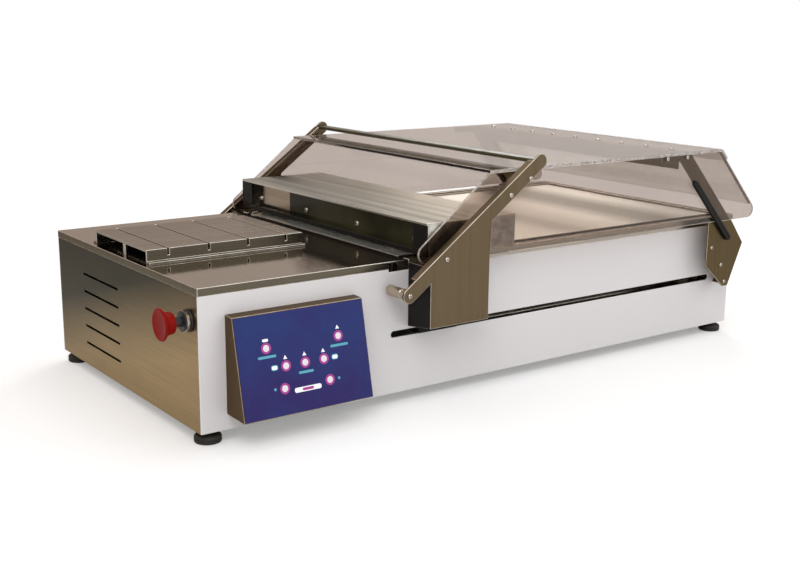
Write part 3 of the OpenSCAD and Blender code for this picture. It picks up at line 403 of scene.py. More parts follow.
# Paints, plastics and rubber: colour, its cloudy shade, roughness range, edge tone and how much of
# it shows on the bevels, as worn paint and, where lighter, a painted highlight
paints = {
    "whitePaint": dict(
        colour=(0.72, 0.70, 0.705), shade=(0.705, 0.685, 0.69), rough=(0.30, 0.38),
        edge=(0.9, 0.89, 0.88), wear=0.6),
    # black paint, also laid on the side plates' faces towards -X as painted shade, a dark
    # reflection
    "blackPaintAndShade": dict(
        colour=(0.010, 0.009, 0.008), shade=(0.006, 0.006, 0.005), rough=(0.40, 0.55),
        edge=(0.035, 0.032, 0.028), wear=0.6, spec=0.15),
    # the tool rail's black gloss: its olive colour, clouded with black, is a painted reflection
    "blackGloss": dict(
        colour=(0.060, 0.054, 0.026), shade=(0.010, 0.010, 0.006), rough=(0.12, 0.24),
        edge=(0.10, 0.09, 0.07), wear=0.7, spec=0.28),
    "oliveBar": dict(
        colour=(0.060, 0.055, 0.024), shade=(0.040, 0.036, 0.016), rough=(0.34, 0.48),
        edge=(0.16, 0.15, 0.10), wear=0.6, spec=0.3),
    "blackRubber": dict(
        colour=(0.024, 0.018, 0.012), shade=(0.015, 0.012, 0.009), rough=(0.6, 0.8),
        edge=(0.03, 0.028, 0.025), wear=0.4, peel=500),
    "blackPlastic": dict(
        colour=(0.022, 0.021, 0.021), shade=(0.015, 0.014, 0.014), rough=(0.35, 0.5),
        edge=(0.05, 0.05, 0.05), wear=0.5, peel=1200),
    "redPlastic": dict(
        colour=(0.26, 0.006, 0.003), shade=(0.21, 0.005, 0.003), rough=(0.32, 0.44),
        edge=(0.34, 0.012, 0.008), wear=0.5, peel=700, dust=0.0, spec=0.06),
    "fibreBoard": dict(
        colour=(0.72, 0.67, 0.58), shade=(0.62, 0.57, 0.48), rough=(0.75, 0.9), peel=260),
    "circuitBoard": dict(
        colour=(0.02, 0.16, 0.06), shade=(0.015, 0.11, 0.04), rough=(0.3, 0.5), peel=300),
}
# What all the paints share, apart from values of their own; peel is the fine surface's scale
anyPaint = {
    "cloud": (5.0, 4.0), "grip": (40.0, 4.0), "range": (0.3, 0.7), "peel": 900, "relief": 0.08,
    "depth": 0.0003, "dust": 0.1, "dustTone": (0.55, 0.52, 0.48), "spec": 0.5,
}


def paintMaterial(name, own):
    s = {**anyPaint, **own}
    mat, nd, lk, shader, vector = newMaterial(name)
    cloud = ranged(nd, lk, noise(nd, lk, vector, *s["cloud"]), *s["range"])
    body = mixColour(nd, lk, cloud, s["shade"], s["colour"])
    if "edge" in s:
        # the bevels take the edge tone: worn paint, and where it is lighter a painted highlight
        body = mixColour(nd, lk, edgeMask(nd, lk, vector, s["wear"]), body, s["edge"])
    settled = dustMask(nd, lk, vector, s["dust"])
    lk.new(mixColour(nd, lk, settled, body, s["dustTone"]), shader.inputs["Base Color"])
    grip = noise(nd, lk, vector, *s["grip"])
    lk.new(ranged(nd, lk, grip, *s["range"], *s["rough"]), shader.inputs["Roughness"])
    shader.inputs["Specular IOR Level"].default_value = s["spec"]
    bump(nd, lk, shader, noise(nd, lk, vector, s["peel"], 2.0), s["relief"], s["depth"])
    return mat


# Clear sheets: a tint each, and what they share
clearTints = {
    "clearSheet": (0.64, 0.575, 0.53), "clearWall": (0.51, 0.435, 0.39),
    "clearEnd": (0.80, 0.78, 0.75),
}
anyClear = {
    "haze": (7.0, 5.0, 0.6), "hazeRange": (0.3, 0.75), "hazeTone": 0.93, "rough": (0.0, 0.012),
    "index": 1.49, "rim": (0.90, 0.78, 0.71),
}


def clearMaterial(name, tint, s):  # lamps shine through it, tinted once
    mat, nd, lk, shader, vector = newMaterial(name)
    haze = ranged(nd, lk, noise(nd, lk, vector, *s["haze"]), *s["hazeRange"])
    tone = mixColour(nd, lk, haze, tint, tuple(c * s["hazeTone"] for c in tint))
    lk.new(tone, shader.inputs["Base Color"])
    lk.new(ranged(nd, lk, haze, 0.0, 1.0, *s["rough"]), shader.inputs["Roughness"])
    shader.inputs["Transmission Weight"].default_value = 1.0
    shader.inputs["IOR"].default_value = s["index"]
    plug(lk, shader.inputs["Specular Tint"], s["rim"])
    through = nd.new("ShaderNodeBsdfTransparent")
    plug(lk, through.inputs["Color"], tuple(c ** 0.5 for c in tint))  # two faces to a sheet
    mix = nd.new("ShaderNodeMixShader")
    lk.new(nd.new("ShaderNodeLightPath").outputs["Is Shadow Ray"], mix.inputs[0])
    lk.new(shader.outputs[0], mix.inputs[1])
    lk.new(through.outputs[0], mix.inputs[2])
    lk.new(mix.outputs[0], nd["Material Output"].inputs["Surface"])
    return mat


# Sawn and polished rims of the clear sheets
sawnEdge = {
    "low": (0.24, 0.20, 0.18), "high": (0.60, 0.55, 0.51), "rough": (0.15, 0.4),
    "saw": (300, 300, 300), "range": (0.3, 0.7),
}


def sheetEdgeMaterial(s):
    mat, nd, lk, shader, vector = newMaterial("sheetEdge")
    saw = noise(nd, lk, stretched(nd, lk, vector, s["saw"]), 1.0)
    tone = mixColour(nd, lk, ranged(nd, lk, saw, *s["range"]), s["low"], s["high"])
    lk.new(tone, shader.inputs["Base Color"])
    lk.new(ranged(nd, lk, saw, *s["range"], *s["rough"]), shader.inputs["Roughness"])
    return mat


# Deep blue keypad film with a plain soft wash of lighter blue
film = {
    "deep": (0.022, 0.014, 0.115), "wash": (0.014, 0.036, 0.165),
    "washNoise": (11.0, 3.0, 0.5), "washRange": (0.35, 0.7),
    "edge": (0.01, 0.008, 0.05), "wear": 0.8, "spec": 0.25,
    "rough": (0.22, 0.34), "grip": (30.0, 4.0), "gripRange": (0.3, 0.7),
    "peel": (1400.0, 2.0), "relief": 0.1, "depth": 0.0002,
}


def filmMaterial(s):
    mat, nd, lk, shader, vector = newMaterial("keypadFilm")
    wash = ranged(nd, lk, noise(nd, lk, vector, *s["washNoise"]), *s["washRange"])
    ink = mixColour(nd, lk, wash, s["deep"], s["wash"])
    ink = mixColour(nd, lk, edgeMask(nd, lk, vector, s["wear"]), ink, s["edge"])
    lk.new(ink, shader.inputs["Base Color"])
    rough = ranged(nd, lk, noise(nd, lk, vector, *s["grip"]), *s["gripRange"], *s["rough"])
    lk.new(rough, shader.inputs["Roughness"])
    shader.inputs["Specular IOR Level"].default_value = s["spec"]
    bump(nd, lk, shader, noise(nd, lk, vector, *s["peel"]), s["relief"], s["depth"])
    return mat


# Small printed or lit marks: colour and glow
prints = {
    "keyCap": ((0.86, 0.82, 0.88), 0), "keyRing": ((0.42, 0.045, 0.30), 0),
    "paleMark": ((0.10, 0.42, 0.55), 0), "lampMark": ((0.92, 0.95, 0.97), 0.15),
}
anyPrint = {
    "speckle": (400.0, 2.0), "speckleTone": 0.85,
    "rough": (0.25, 0.4), "grip": 200.0, "range": (0.3, 0.7),
}


def printMaterial(name, colour, glow, s):
    mat, nd, lk, shader, vector = newMaterial(name)
    dull = tuple(c * s["speckleTone"] for c in colour)
    tone = mixColour(nd, lk, noise(nd, lk, vector, *s["speckle"]), dull, colour)
    lk.new(tone, shader.inputs["Base Color"])
    rough = ranged(nd, lk, noise(nd, lk, vector, s["grip"]), *s["range"], *s["rough"])
    lk.new(rough, shader.inputs["Roughness"])
    if glow:
        plug(lk, shader.inputs["Emission Color"], colour)
        shader.inputs["Emission Strength"].default_value = glow
    return mat


mats = {name: steelMaterial(name, own) for name, own in steels.items()}
mats.update({name: paintMaterial(name, own) for name, own in paints.items()})
mats.update({name: clearMaterial(name, tint, anyClear) for name, tint in clearTints.items()})
for name, (colour, glow) in prints.items():
    mats[name] = printMaterial(name, colour, glow, anyPrint)
mats["sheetEdge"] = sheetEdgeMaterial(sawnEdge)
mats["keypadFilm"] = filmMaterial(film)

# Which finish each slot has, and which nodes differ from their slot's
slotFinish = {
    "white_panel": "whitePaint", "brushed_stainless": "plateSteel", "mirror_stainless": "deckSteel",
    "bright_bed": "bedSteel", "clear_acrylic": "clearSheet", "black_anodised": "blackPaintAndShade",
    "fastener_steel": "boltSteel", "machined_aluminium": "castMetal", "black_rubber": "blackRubber",
    "black_plastic": "blackPlastic", "red_plastic": "redPlastic", "blue_film": "keypadFilm",
    "insulation": "fibreBoard", "circuit_board": "circuitBoard",
}
nodeFinish = {
    "left_panel": "endPanelSteel", "right_panel": "endPanelSteel",
    "finger_tray": "traySteel", "tray_post": "boltSteel",
    "bed_frame": "rimSteel", "bed_tray": "rimSteel",
    "base_pan": "interiorSteel", "bed_bulkhead": "interiorSteel", "bed_shelf": "interiorSteel",
    "power_supply": "interiorSteel", "console_housing": "consoleSteel",
    "hood_arms": "darkSteel", "hood_cross_plate": "darkSteel",
    "hood_bracket_front": "bracketSteel", "hood_bracket_back": "bracketSteel",
    # the beam end plates take the beam's lighter steel as painted light, where they lie in shade
    "beam_housing": "beamSteel", "beam_end_plates": "beamSteel",
    "tool_rail": "blackGloss", "top_bar": "oliveBar",
}
slotOf = {s["node"]: s["material_slot"] for s in frame["record"]["subparts"]}


def finishOf(node):
    return mats[nodeFinish.get(node, slotFinish[slotOf[node]])]


for name, obj in nodes.items():
    obj.data.materials.clear()
    obj.data.materials.append(finishOf(name))
print("finishes applied:", len(bpy.data.materials), "materials")

weld, seam = 2e-6, 1e-6  # distances in m at which loose triangles and turned pieces are joined


def mergedCopy(node):
    bm = bmesh.new()
    bm.from_mesh(nodes[node].data)
    bmesh.ops.remove_doubles(bm, verts=bm.verts, dist=weld)
    return bm


def startFrom(node):  # a merged copy of a node's mesh, its flat faces joined again
    bm = mergedCopy(node)
    bmesh.ops.dissolve_limit(bm, angle_limit=math.radians(0.5), verts=bm.verts, edges=bm.edges)
    return bm


def islands(node):  # boxes of a node's separate solids
    bm = mergedCopy(node)
    seen, boxes = set(), []
    for start in bm.verts:
        if start in seen:
            continue
        stack, group = [start], []
        seen.add(start)
        while stack:
            v = stack.pop()
            group.append(v.co.copy())
            for e in v.link_edges:
                w = e.other_vert(v)
                if w not in seen:
                    seen.add(w)
                    stack.append(w)
        boxes.append((Vector(map(min, zip(*group))), Vector(map(max, zip(*group)))))
    bm.free()
    return boxes


# Pieces that lie on a clear sheet stand off it a little, so that light passes between: which way
standOff = {
    "hood_arms": "yz", "hood_cross_plate": "z", "hood_end_sheet": "y",
    "hood_front_wall": "z", "hood_back_wall": "z",
}
standGap, standReach = 0.00025, 1e-4


def drawIn(bm, node):
    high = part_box(node)[1]
    ways = standOff.get(node, "")
    for v in bm.verts:
        if "y" in ways and abs(v.co.y) > high.y - standReach:
            v.co.y -= math.copysign(standGap, v.co.y)
        if "z" in ways and v.co.z > high.z - standReach:
            v.co.z -= standGap


def bevelSharp(bm, width, angle):  # rounds the arrises and marks them for the worn edge tone with its painted highlight
    least = math.radians(angle)
    sharp = [e for e in bm.edges if len(e.link_faces) == 2 and e.calc_face_angle(0) > least]
    made = bmesh.ops.bevel(bm, geom=sharp, offset=width, offset_type="OFFSET", segments=2,
                           profile=0.5, affect="EDGES", clamp_overlap=True, material=-1)
    layer = bm.loops.layers.float.new("edge")
    for f in made["faces"]:
        for corner in f.loops:
            corner[layer] = 1.0


def finishPiece(bm, name, body, materials, smooth=40):
    mesh = bpy.data.meshes.new(name)
    bm.to_mesh(mesh)
    bm.free()
    piece = bpy.data.objects.new(name, mesh)
    bpy.context.collection.objects.link(piece)
    for m in materials:
        mesh.materials.append(m)
    mesh.shade_smooth()
    mesh.set_sharp_from_angle(angle=math.radians(smooth))
    flat = piece.modifiers.new("flatNormals", "WEIGHTED_NORMAL")
    flat.mode, flat.weight, flat.keep_sharp = "FACE_AREA", 50, True
    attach(piece, body)
    return piece


def finishNode(bm, node, ending, materials, smooth=40):  # a piece in a node's place, on its body
    first, *rest = node.split("_")
    name = first + "".join(word.title() for word in rest) + ending
    piece = finishPiece(bm, name, nodes[node]["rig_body"], materials, smooth)
    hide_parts(node)


def pour(part, bm):  # adds a finished part to the rest of its piece
    mesh = bpy.data.meshes.new("part")
    part.to_mesh(mesh)
    part.free()
    bm.from_mesh(mesh)
    bpy.data.meshes.remove(mesh)


def turned(points, axis, steps):  # a chain of points, turned full round an axis through the origin
    bm = bmesh.new()
    verts = [bm.verts.new(p) for p in points]
    edges = [bm.edges.new(pair) for pair in zip(verts, verts[1:])]
    bmesh.ops.spin(bm, geom=verts + edges, cent=(0, 0, 0), axis=axis, angle=math.tau,
                   steps=steps, use_merge=True, use_duplicate=False)
    bmesh.ops.remove_doubles(bm, verts=bm.verts, dist=seam)
    bmesh.ops.recalc_face_normals(bm, faces=bm.faces)
    return bm


def upright(profile, steps):  # a profile of (radius, height), turned round +Z
    return turned([(r, 0, h) for r, h in profile], (0, 0, 1), steps)


def endways(profile, mid, steps):  # a profile of (radius, x), turned round an axis along X
    bm = turned([(x, 0, r) for r, x in profile], (1, 0, 0), steps)
    bm.transform(Matrix.Translation((0, mid.y, mid.z)))
    return bm


# Zones of a part in a second finish: cuts across it, then a test of a face's middle and normal. The
# side plates' black faces and the deck's and tray's darker faces are painted shade.
railBrightFrom = 0.118  # where the tool rail's bright end starts, along Y
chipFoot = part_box("controller_board")[1].z - 0.0121
zones = {
    # the side plates' faces towards -X are painted black as painted shade: a dark reflection of the
    # surroundings
    "side_plate_front": dict(finish="blackPaintAndShade", test=lambda c, n: n.x < -0.9),
    "side_plate_back": dict(finish="blackPaintAndShade", test=lambda c, n: n.x < -0.9),
    # the deck's and the tray's front and left faces take a darker copy of their steel as painted
    # shade
    "deck_plate": dict(finish="shadedSteel", test=lambda c, n: min(n.x, n.y) < -0.9),
    "finger_tray": dict(finish="shadedSteel", test=lambda c, n: n.y < -0.9),
    "tool_rail": dict(
        finish="paleSteel", cuts=[railBrightFrom], test=lambda c, n: c.y > railBrightFrom),
    "controller_board": dict(finish="blackPlastic", test=lambda c, n: c.z > chipFoot),
}

# Arris width in mm of each folded or sawn part
arris = {
    "front_panel": 0.5, "back_panel": 0.5, "left_panel": 0.5, "right_panel": 0.5, "deck_plate": 0.8,
    "finger_tray": 0.7, "bed_frame": 0.7, "bed_tray": 0.5, "hot_plate": 0.8, "console_housing": 0.6,
    "side_plate_front": 0.7, "side_plate_back": 0.7,
    "hood_bracket_front": 0.7, "hood_bracket_back": 0.7, "hood_arms": 0.6, "hood_cross_plate": 0.5,
    "beam_housing": 0.6, "beam_end_plates": 0.5, "beam_skirt": 0.4, "tool_rail": 0.5,
    "top_bar": 1.2, "hood_clamp_bars": 1.2, "plate_hangers": 0.6,
    "bridge_legs": 0.6, "bridge_cross_bar": 0.6, "membrane_keypad": 0.25, "power_supply": 1.0,
    "power_inlet": 0.5, "fan_frame": 0.5, "bed_bulkhead": 0.4, "bed_shelf": 0.4, "base_pan": 0.4,
    "insulation_board": 0.6, "controller_board": 0.15, "bearing_blocks": 0.5, "belt_clamp": 0.5,
    "idler_bracket": 0.4, "drive_motor": 0.8, "rod_supports": 0.5, "foot_studs": 0.3,
    "tray_post": 0.4,
}


def soften(node, width):
    bm = startFrom(node)
    drawIn(bm, node)
    zone = zones.get(node)
    materials = [finishOf(node)]
    if zone:
        for y in zone.get("cuts", []):
            bmesh.ops.bisect_plane(bm, geom=bm.verts[:] + bm.edges[:] + bm.faces[:],
                                   plane_co=(0, y, 0), plane_no=(0, 1, 0), dist=1e-6)
        bm.normal_update()
        materials.append(mats[zone["finish"]])
        for f in bm.faces:
            f.material_index = int(zone["test"](f.calc_center_median(), f.normal))
    bevelSharp(bm, width / 1000, 30)
    finishNode(bm, node, "Soft", materials, 35)


for node, width in arris.items():
    soften(node, width)
print("folded and sawn parts:", len(arris))

# Button heads: outward way, and how far the socket reaches across the head
screws = {
    "bridge_bolts": dict(way="y", socket=0.42), "bracket_screws": dict(way="y", socket=0.42),
    "wall_screws": dict(way="y", socket=0.42), "hood_screws": dict(way="z", socket=0.40),
    "rail_bolts": dict(way="-x", socket=0.45),
}
# A head's outline: shares of its radius or of the socket's, and of its height
buttonHead = {
    "outside": [(1, 0), (1, 0.3), (0.88, 0.62), (0.66, 0.9)],
    "inside": [(1.12, 1), (1, 0.96), (1, 0.35), (0, 0.3)],
    "steps": 24, "across": 0.87,
}


def domeHead(centre, way, radius, height, socket, p):  # a button head with a hexagon socket
    profile = [(radius * r, height * h) for r, h in p["outside"]]
    profile += [(socket * r, height * h) for r, h in p["inside"]]
    part = upright(profile, p["steps"])
    for v in part.verts:
        r = math.hypot(v.co.x, v.co.y)
        if seam < r < socket * 1.01:  # the socket's own wall, drawn in to a hexagon
            a = math.degrees(math.atan2(v.co.y, v.co.x)) % 60 - 30
            k = socket * p["across"] / math.cos(math.radians(a)) / r
            v.co.x, v.co.y = v.co.x * k, v.co.y * k
    turn = Vector((0, 0, 1)).rotation_difference(way).to_matrix().to_4x4()
    part.transform(Matrix.Translation(centre) @ turn)
    return part


def addScrews(node, s, head):
    bm = bmesh.new()
    for low, high in islands(node):
        mid, size = (low + high) / 2, high - low
        if s["way"] == "z":
            way, foot = Vector((0, 0, 1)), Vector((mid.x, mid.y, low.z))
            height, across = size.z, size.x
        elif s["way"] == "-x":
            way, foot = Vector((-1, 0, 0)), Vector((high.x, mid.y, mid.z))
            height, across = size.x, size.z
        else:
            side = -1 if mid.y < 0 else 1
            way, foot = Vector((0, side, 0)), Vector((mid.x, high.y if side < 0 else low.y, mid.z))
            height, across = size.y, size.z
        pour(domeHead(foot, way, across / 2, height, across / 2 * s["socket"], head), bm)
    finishNode(bm, node, "Heads", [mats["boltSteel"]])


for node, s in screws.items():
    addScrews(node, s, buttonHead)
print("screw heads:", len(screws), "sets")

# Clear hood sheets: which faces are clear; the others are their bright cut edges
sheetArris = 0.0005
hoodSheets = {
    "hood_top_sheet": dict(
        finish="clearSheet", clear=lambda n: abs(n.y) < 0.5 and not (n.z < -0.5 and n.x > 0.5)),
    "hood_end_sheet": dict(finish="clearEnd", clear=lambda n: abs(n.y) < 0.5 and abs(n.x) > 0.5),
    "hood_front_wall": dict(finish="clearWall", clear=lambda n: abs(n.y) > 0.5),
    "hood_back_wall": dict(
        finish="clearWall", clear=lambda n: abs(n.y) > 0.5 or n.z < -0.5 or n.x > 0.5),
}


def addSheet(node, s):
    bm = startFrom(node)
    drawIn(bm, node)
    bevelSharp(bm, sheetArris, 40)
    bm.normal_update()
    for f in bm.faces:
        f.material_index = 0 if s["clear"](f.normal) else 1
    finishNode(bm, node, "Clear", [mats[s["finish"]], mats["sheetEdge"]], 30)


for node, s in hoodSheets.items():
    addSheet(node, s)
print("hood sheets:", len(hoodSheets))

# Stop button: radii, and distances behind the head's front, in m; the dished front's points are
# shares of the head's radius and of the dish's depth
stopButton = {
    "steps": 64, "rim": 0.0036, "dish": 0.0009, "front": [(0, 1.6), (0.4, 1.4), (0.75, 0.8)],
    "flare": 0.0065, "skirt": 0.0142, "foot": 0.0132, "depth": 0.017, "stem": 0.006,
    "waist": (0.0002, 0.6), "chamfer": (0.001, 0.0012),
}


def addStopButton(p):
    low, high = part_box("estop_button")
    radius, tip, base = (high.y - low.y) / 2, low.x, low.x + p["depth"]
    half, skirt = p["rim"] / 2, p["skirt"]
    profile = [(radius * r, tip + p["dish"] * deep) for r, deep in p["front"]]
    for a in map(math.radians, range(0, 181, 20)):  # the rounded rim
        profile.append((radius - half + half * math.sin(a), tip + half - half * math.cos(a)))
    for t in (0.25, 0.5, 0.75, 1.0):  # the flare back to the skirt
        profile.append((skirt + (radius - half - skirt) * (1 - t) ** 2,
                        tip + p["rim"] + (p["flare"] - p["rim"]) * t))
    profile += [
        (skirt - p["waist"][0], tip + p["depth"] * p["waist"][1]),
        (p["foot"], base - p["chamfer"][1]), (p["foot"] - p["chamfer"][0], base),
        (p["stem"], base), (p["stem"], high.x), (0, high.x),
    ]
    bm = endways(profile, (low + high) / 2, p["steps"])
    for f in bm.faces:
        f.material_index = int(f.calc_center_median().x > base - 1e-5)
    piece = finishPiece(bm, "stopButtonHead", "estop_button",
                        [mats["redPlastic"], mats["blackPlastic"]])
    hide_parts("estop_button")


addStopButton(stopButton)

# Its collar: radii and distances in m; the side's points are how far in from the outer radius,
# and how far behind the front, the bright ring's start or end, or the panel
stopCollar = {
    "steps": 48, "bore": 0.0062, "floor": 0.004, "ring": (0.0022, 0.0062),
    "neck": 0.0109, "nut": (0.001, 0.002),
    "side": [
        (0.0024, "front", 0), (0.0014, "front", 0.0006), (0.0014, "start", 0),
        (0.0004, "start", 0.0003), (0.0004, "end", -0.0003), (0.0018, "end", 0),
        (0.0018, "end", 0.001), (0.0004, "end", 0.0015), (0, "end", 0.0022),
        (0, "panel", -0.0004), (0.0004, "panel", 0),
    ],
}


def addStopCollar(p):
    low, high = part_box("estop_collar")
    radius, bore, back = (high.y - low.y) / 2, p["bore"], high.x
    start, end = (low.x + d for d in p["ring"])
    places = {"front": low.x, "start": start, "end": end, "panel": leftEnd}
    inset, proud = p["nut"]
    profile = [(bore, back - p["floor"]), (bore, low.x)]
    profile += [(radius - deep, places[place] + behind) for deep, place, behind in p["side"]]
    profile += [
        (p["neck"], leftEnd), (p["neck"], leftEnd + proud), (radius - inset, leftEnd + proud),
        (radius - inset, back), (0, back), (0, back - p["floor"]), (bore, back - p["floor"]),
    ]
    bm = endways(profile, (low + high) / 2, p["steps"])
    for f in bm.faces:
        f.material_index = int(start < f.calc_center_median().x < end)
    piece = finishPiece(bm, "stopCollarTurned", "base",
                        [mats["blackPlastic"], mats["boltSteel"]])
    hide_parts("estop_collar")


addStopCollar(stopCollar)
print("stop button and collar")

# Feet: the hollow under them (depth, then shares of the radius), the rounded foot, the groove and
# where it lies up the height, and the shoulder (in from the radius, down from the top), in m
feet = {
    "steps": 40, "hollow": (0.0004, 0.55, 0.6), "round": 0.0022,
    "groove": 0.0008, "grooveAt": (0.42, 0.47, 0.55, 0.6),
    "shoulder": [(0, 0.0026), (0.0007, 0.0012), (0.0022, 0.0002), (0.004, 0)],
}


def addFeet(p):
    bm = bmesh.new()
    deep, inner, outer = p["hollow"]
    curve, groove = p["round"], p["groove"]
    for low, high in islands("foot_discs"):
        mid = (low + high) / 2
        r, h = (high.x - low.x) / 2, high.z - low.z
        profile = [
            (0, deep), (r * inner, deep), (r * outer, 0), (r - curve, 0),
            (r - curve * 0.3, curve * 0.3), (r, curve),
        ]
        profile += [(r - d, h * at) for d, at in zip((0, groove, groove, 0), p["grooveAt"])]
        profile += [(r - d, h - down) for d, down in p["shoulder"]] + [(0, h)]
        part = upright(profile, p["steps"])
        part.transform(Matrix.Translation((mid.x, mid.y, low.z)))
        pour(part, bm)
    piece = finishPiece(bm, "rubberFeet", "base", [mats["blackRubber"]])
    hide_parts("foot_discs")


addFeet(feet)

# Bumpers at the arms' lower ends: the groove's depth and where it lies from the outer end, in m
bumpers = {
    "steps": 48, "chamfer": 0.001, "round": 0.003,
    "collar": 0.0009, "collarAt": (0.009, 0.0098, 0.0112, 0.012),
}


def addBumpers(p):
    bm = bmesh.new()
    chamfer, curve, collar = p["chamfer"], p["round"], p["collar"]
    for low, high in islands("arm_bumpers"):
        mid = (low + high) / 2
        r, length = (high.z - low.z) / 2, high.y - low.y
        side = -1 if mid.y < 0 else 1
        profile = [(0, 0), (r - chamfer, 0), (r, chamfer)]
        profile += [(r - d, at) for d, at in zip((0, collar, collar, 0), p["collarAt"])]
        profile.append((r, length - curve))
        for a in map(math.radians, (22, 45, 68, 90)):  # the rounded end
            profile.append((r - curve + curve * math.cos(a), length - curve + curve * math.sin(a)))
        part = upright(profile + [(0, length)], p["steps"])
        turn = Matrix.Rotation(math.radians(90 * side), 4, "X")
        part.transform(Matrix.Translation((mid.x, low.y if side < 0 else high.y, mid.z)) @ turn)
        pour(part, bm)
    bmesh.ops.recalc_face_normals(bm, faces=bm.faces)
    piece = finishPiece(bm, "armBumpersTurned", "bridge",
                        [mats["paleSteel"]])
    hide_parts("arm_bumpers")


addBumpers(bumpers)
print("feet and bumpers")

# Keypad marks, in mm: x from the film's middle, and s up its slope from the console's edge
keypad = {
    "middle": 91.5, "steps": 40, "keyRadius": 6.8, "ring": 2.6, "height": 0.4,
    "keys": [(-51.3, 85), (51.3, 85), (-27, 60), (0, 60), (27, 60), (-32.2, 33), (32.2, 33)],
    "plates": [  # x, s, width, depth, height, and the set it belongs to
        (-43, 60, 9.5, 6.6, 0.10, "marks"), (43, 60, 9.5, 6.6, 0.10, "marks"),
        (-43, 60, 7.4, 4.6, 0.22, "lamps"), (43, 60, 7.4, 4.6, 0.22, "lamps"),
        (-51.3, 74.4, 25, 3.2, 0.10, "marks"), (51.3, 73.6, 26, 3.2, 0.10, "marks"),
        (0, 48.5, 21, 3.2, 0.10, "marks"),
        (0, 28, 38, 6, 0.10, "lamps"), (0, 28, 16, 3.4, 0.22, "rings"),
        (-45.5, 34, 3.4, 3.4, 0.10, "marks"), (45.5, 33, 3.4, 3.4, 0.10, "marks"),
        (-51.3, 94.6, 8, 3.4, 0.10, "lamps"),
    ],
    "plateCorner": 0.4,  # a share of the depth
    "arrows": [(51.3, 95.5), (-27, 70), (0, 70), (27, 70)], "arrowSize": 3.2, "arrowHeight": 0.1,
}
# Each set's piece and finish
keypadSets = {
    "rings": ("keyRings", "keyRing"), "caps": ("keyCaps", "keyCap"),
    "marks": ("keypadBars", "paleMark"), "lamps": ("keypadLamps", "lampMark"),
}


def filmPlane():  # the film's outer face: its lower left corner, and the ways along, up and out
    bm = startFrom("membrane_keypad")
    face = max((f for f in bm.faces if f.normal.y < -0.5), key=lambda f: f.calc_area())
    out = face.normal.copy()
    corner = min((v.co.copy() for v in face.verts), key=lambda co: (round(co.z, 4), co.x))
    bm.free()
    right = Vector((1, 0, 0))
    up = right.cross(-out).normalized()
    return corner, right, up if up.z > 0 else -up, out


def raised(part, height):  # a flat shape given its thickness
    solid = bmesh.ops.extrude_face_region(part, geom=part.faces[:])
    top = [v for v in solid["geom"] if isinstance(v, bmesh.types.BMVert)]
    bmesh.ops.translate(part, vec=(0, 0, height / 1000), verts=top)
    bmesh.ops.recalc_face_normals(part, faces=part.faces)


def addKeypadMarks(p):
    corner, right, up, out = filmPlane()
    edge = (corner.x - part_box("console_housing")[0].x) * 1000
    basis = Matrix((right, up, out)).transposed().to_4x4()
    sets = {name: bmesh.new() for name in keypadSets}

    def stamp(name, part, x, s):
        at = corner + right * ((p["middle"] + x - edge) / 1000) + up * ((s - edge) / 1000)
        part.transform(Matrix.Translation(at) @ basis)
        pour(part, sets[name])

    r, w, h = p["keyRadius"] / 1000, p["ring"] / 1000, p["height"] / 1000
    ring = [
        (r - w, 0), (r - w, h * 0.8), (r - w * 0.75, h), (r - w * 0.25, h), (r, h * 0.6), (r, 0),
    ]
    cap = [(r - w, 0), (r - w, h * 0.5), (r * 0.4, h * 0.9), (0, h)]
    for x, s in p["keys"]:
        stamp("rings", upright(ring, p["steps"]), x, s)
        stamp("caps", upright(cap, p["steps"]), x, s)
    for x, s, width, depth, height, name in p["plates"]:
        part = bmesh.new()
        bmesh.ops.create_grid(part, x_segments=1, y_segments=1, size=0.5)
        bmesh.ops.scale(part, vec=(width / 1000, depth / 1000, 1), verts=part.verts)
        raised(part, height)
        uprights = [e for e in part.edges if abs(e.verts[0].co.z - e.verts[1].co.z) > 1e-6]
        bmesh.ops.bevel(part, geom=uprights, offset=depth * p["plateCorner"] / 1000,
                        offset_type="OFFSET", segments=4, profile=0.5, affect="EDGES",
                        clamp_overlap=True, material=-1)
        stamp(name, part, x, s)
    for x, s in p["arrows"]:
        part = bmesh.new()
        bmesh.ops.create_circle(part, cap_ends=True, radius=p["arrowSize"] / 1000, segments=3)
        raised(part, p["arrowHeight"])
        stamp("lamps", part, x, s)
    for name, (pieceName, finish) in keypadSets.items():
        finishPiece(sets[name], pieceName, "base", [mats[finish]])


addKeypadMarks(keypad)
print("keypad marks")

# Stage: brightness and colour of the surroundings, then the floor, which fades out into white
bpy.context.scene.view_settings.view_transform = "Standard"
studio = {
    "skyLow": 0.42, "skyHigh": 0.90, "bright": (0.5, -0.75, 0.4),
    "warm": (1.0, 0.86, 0.77), "warmRange": (-0.4, 0.6),
    "floor": 0.74, "floorSize": 8, "rough": 0.9, "lift": 0.27, "fade": (0.75, 1.7),
}


def seenWhite(nd, lk):  # 1 for rays that show the background: from the camera and through glass
    path = nd.new("ShaderNodeLightPath").outputs
    return maths(nd, lk, "MAXIMUM", path["Is Camera Ray"], path["Is Transmission Ray"])


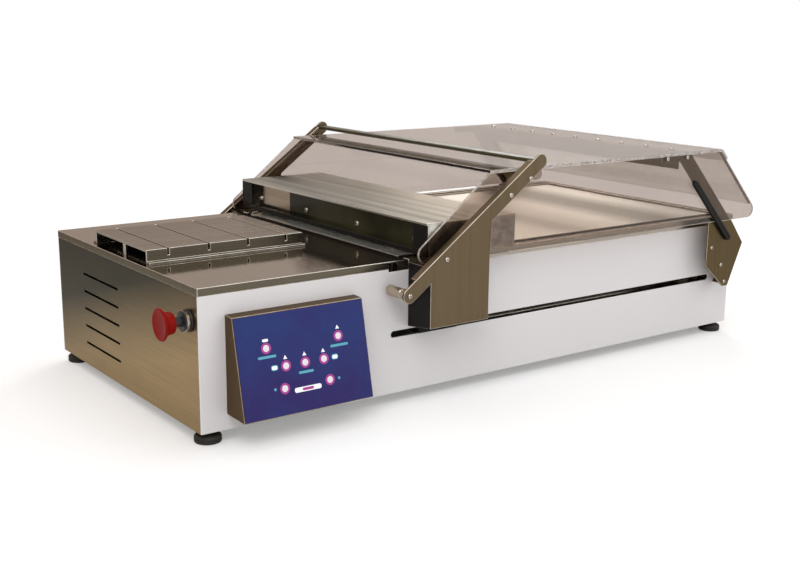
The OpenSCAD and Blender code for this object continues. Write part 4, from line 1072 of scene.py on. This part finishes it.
def addFloor(s):
    mesh = bpy.data.meshes.new("floor")
    bm = bmesh.new()
    bmesh.ops.create_grid(bm, x_segments=1, y_segments=1, size=s["floorSize"])
    bm.to_mesh(mesh)
    bm.free()
    floor = bpy.data.objects.new("floor", mesh)
    bpy.context.collection.objects.link(floor)
    mat, nd, lk, shader, vector = newMaterial("floorPaint")
    shader.inputs["Roughness"].default_value = s["rough"]
    shader.inputs["Specular IOR Level"].default_value = 0.0
    plug(lk, shader.inputs["Base Color"], (s["floor"],) * 3)
    plug(lk, shader.inputs["Emission Color"], (1, 1, 1))
    lk.new(times(nd, lk, seenWhite(nd, lk), s["lift"]), shader.inputs["Emission Strength"])
    reach = nd.new("ShaderNodeVectorMath")
    reach.operation = "LENGTH"
    lk.new(vector, reach.inputs[0])
    fade = nd.new("ShaderNodeMixShader")
    lk.new(ranged(nd, lk, reach.outputs["Value"], *s["fade"]), fade.inputs[0])
    lk.new(shader.outputs[0], fade.inputs[1])
    lk.new(nd.new("ShaderNodeBsdfTransparent").outputs[0], fade.inputs[2])
    lk.new(fade.outputs[0], nd["Material Output"].inputs["Surface"])
    mesh.materials.append(mat)


def addWorld(s):
    world = bpy.data.worlds.new("studio")
    bpy.context.scene.world = world
    world.use_nodes = True
    nd, lk = world.node_tree.nodes, world.node_tree.links
    back = nd["Background"]
    facing = nd.new("ShaderNodeVectorMath")
    facing.operation = "DOT_PRODUCT"
    facing.inputs[1].default_value = s["bright"]
    lk.new(nd.new("ShaderNodeTexCoord").outputs["Generated"], facing.inputs[0])
    facing = facing.outputs["Value"]
    white = seenWhite(nd, lk)
    sky = ranged(nd, lk, facing, -1.0, 1.0, s["skyLow"], s["skyHigh"])
    lk.new(ranged(nd, lk, white, 0, 1, sky, 1.0), back.inputs[1])
    near = maths(nd, lk, "MAXIMUM", white, ranged(nd, lk, facing, *s["warmRange"]))
    lk.new(mixColour(nd, lk, near, s["warm"], (1, 1, 1)), back.inputs[0])


# Lamps: place in m, aim, size in m, power in W
lamps = {
    "key": dict(at=(-1.6, -1.7, 2.2), aim=(0, 0, 0.1), size=1.6, power=28),
    "fill": dict(at=(1.9, -1.6, 1.5), aim=(0.1, 0, 0.1), size=2.2, power=7),
    "top": dict(at=(0.2, 0.6, 2.4), aim=(0, 0, 0.1), size=2.0, power=14),
    "back": dict(at=(1.8, 1.75, 1.45), aim=(0.3, 0, 0.2), size=0.9, power=15),
}


def addLamp(name, s):
    data = bpy.data.lights.new(name, "AREA")
    data.size, data.energy = s["size"], s["power"]
    lamp = bpy.data.objects.new(name, data)
    bpy.context.collection.objects.link(lamp)
    place = Vector(s["at"])
    turn = (Vector(s["aim"]) - place).to_track_quat("-Z", "Y").to_matrix().to_4x4()
    turn.translation = place
    lamp.matrix_world = turn


addFloor(studio)
addWorld(studio)
for name, s in lamps.items():
    addLamp(name, s)
print("stage and lamps")
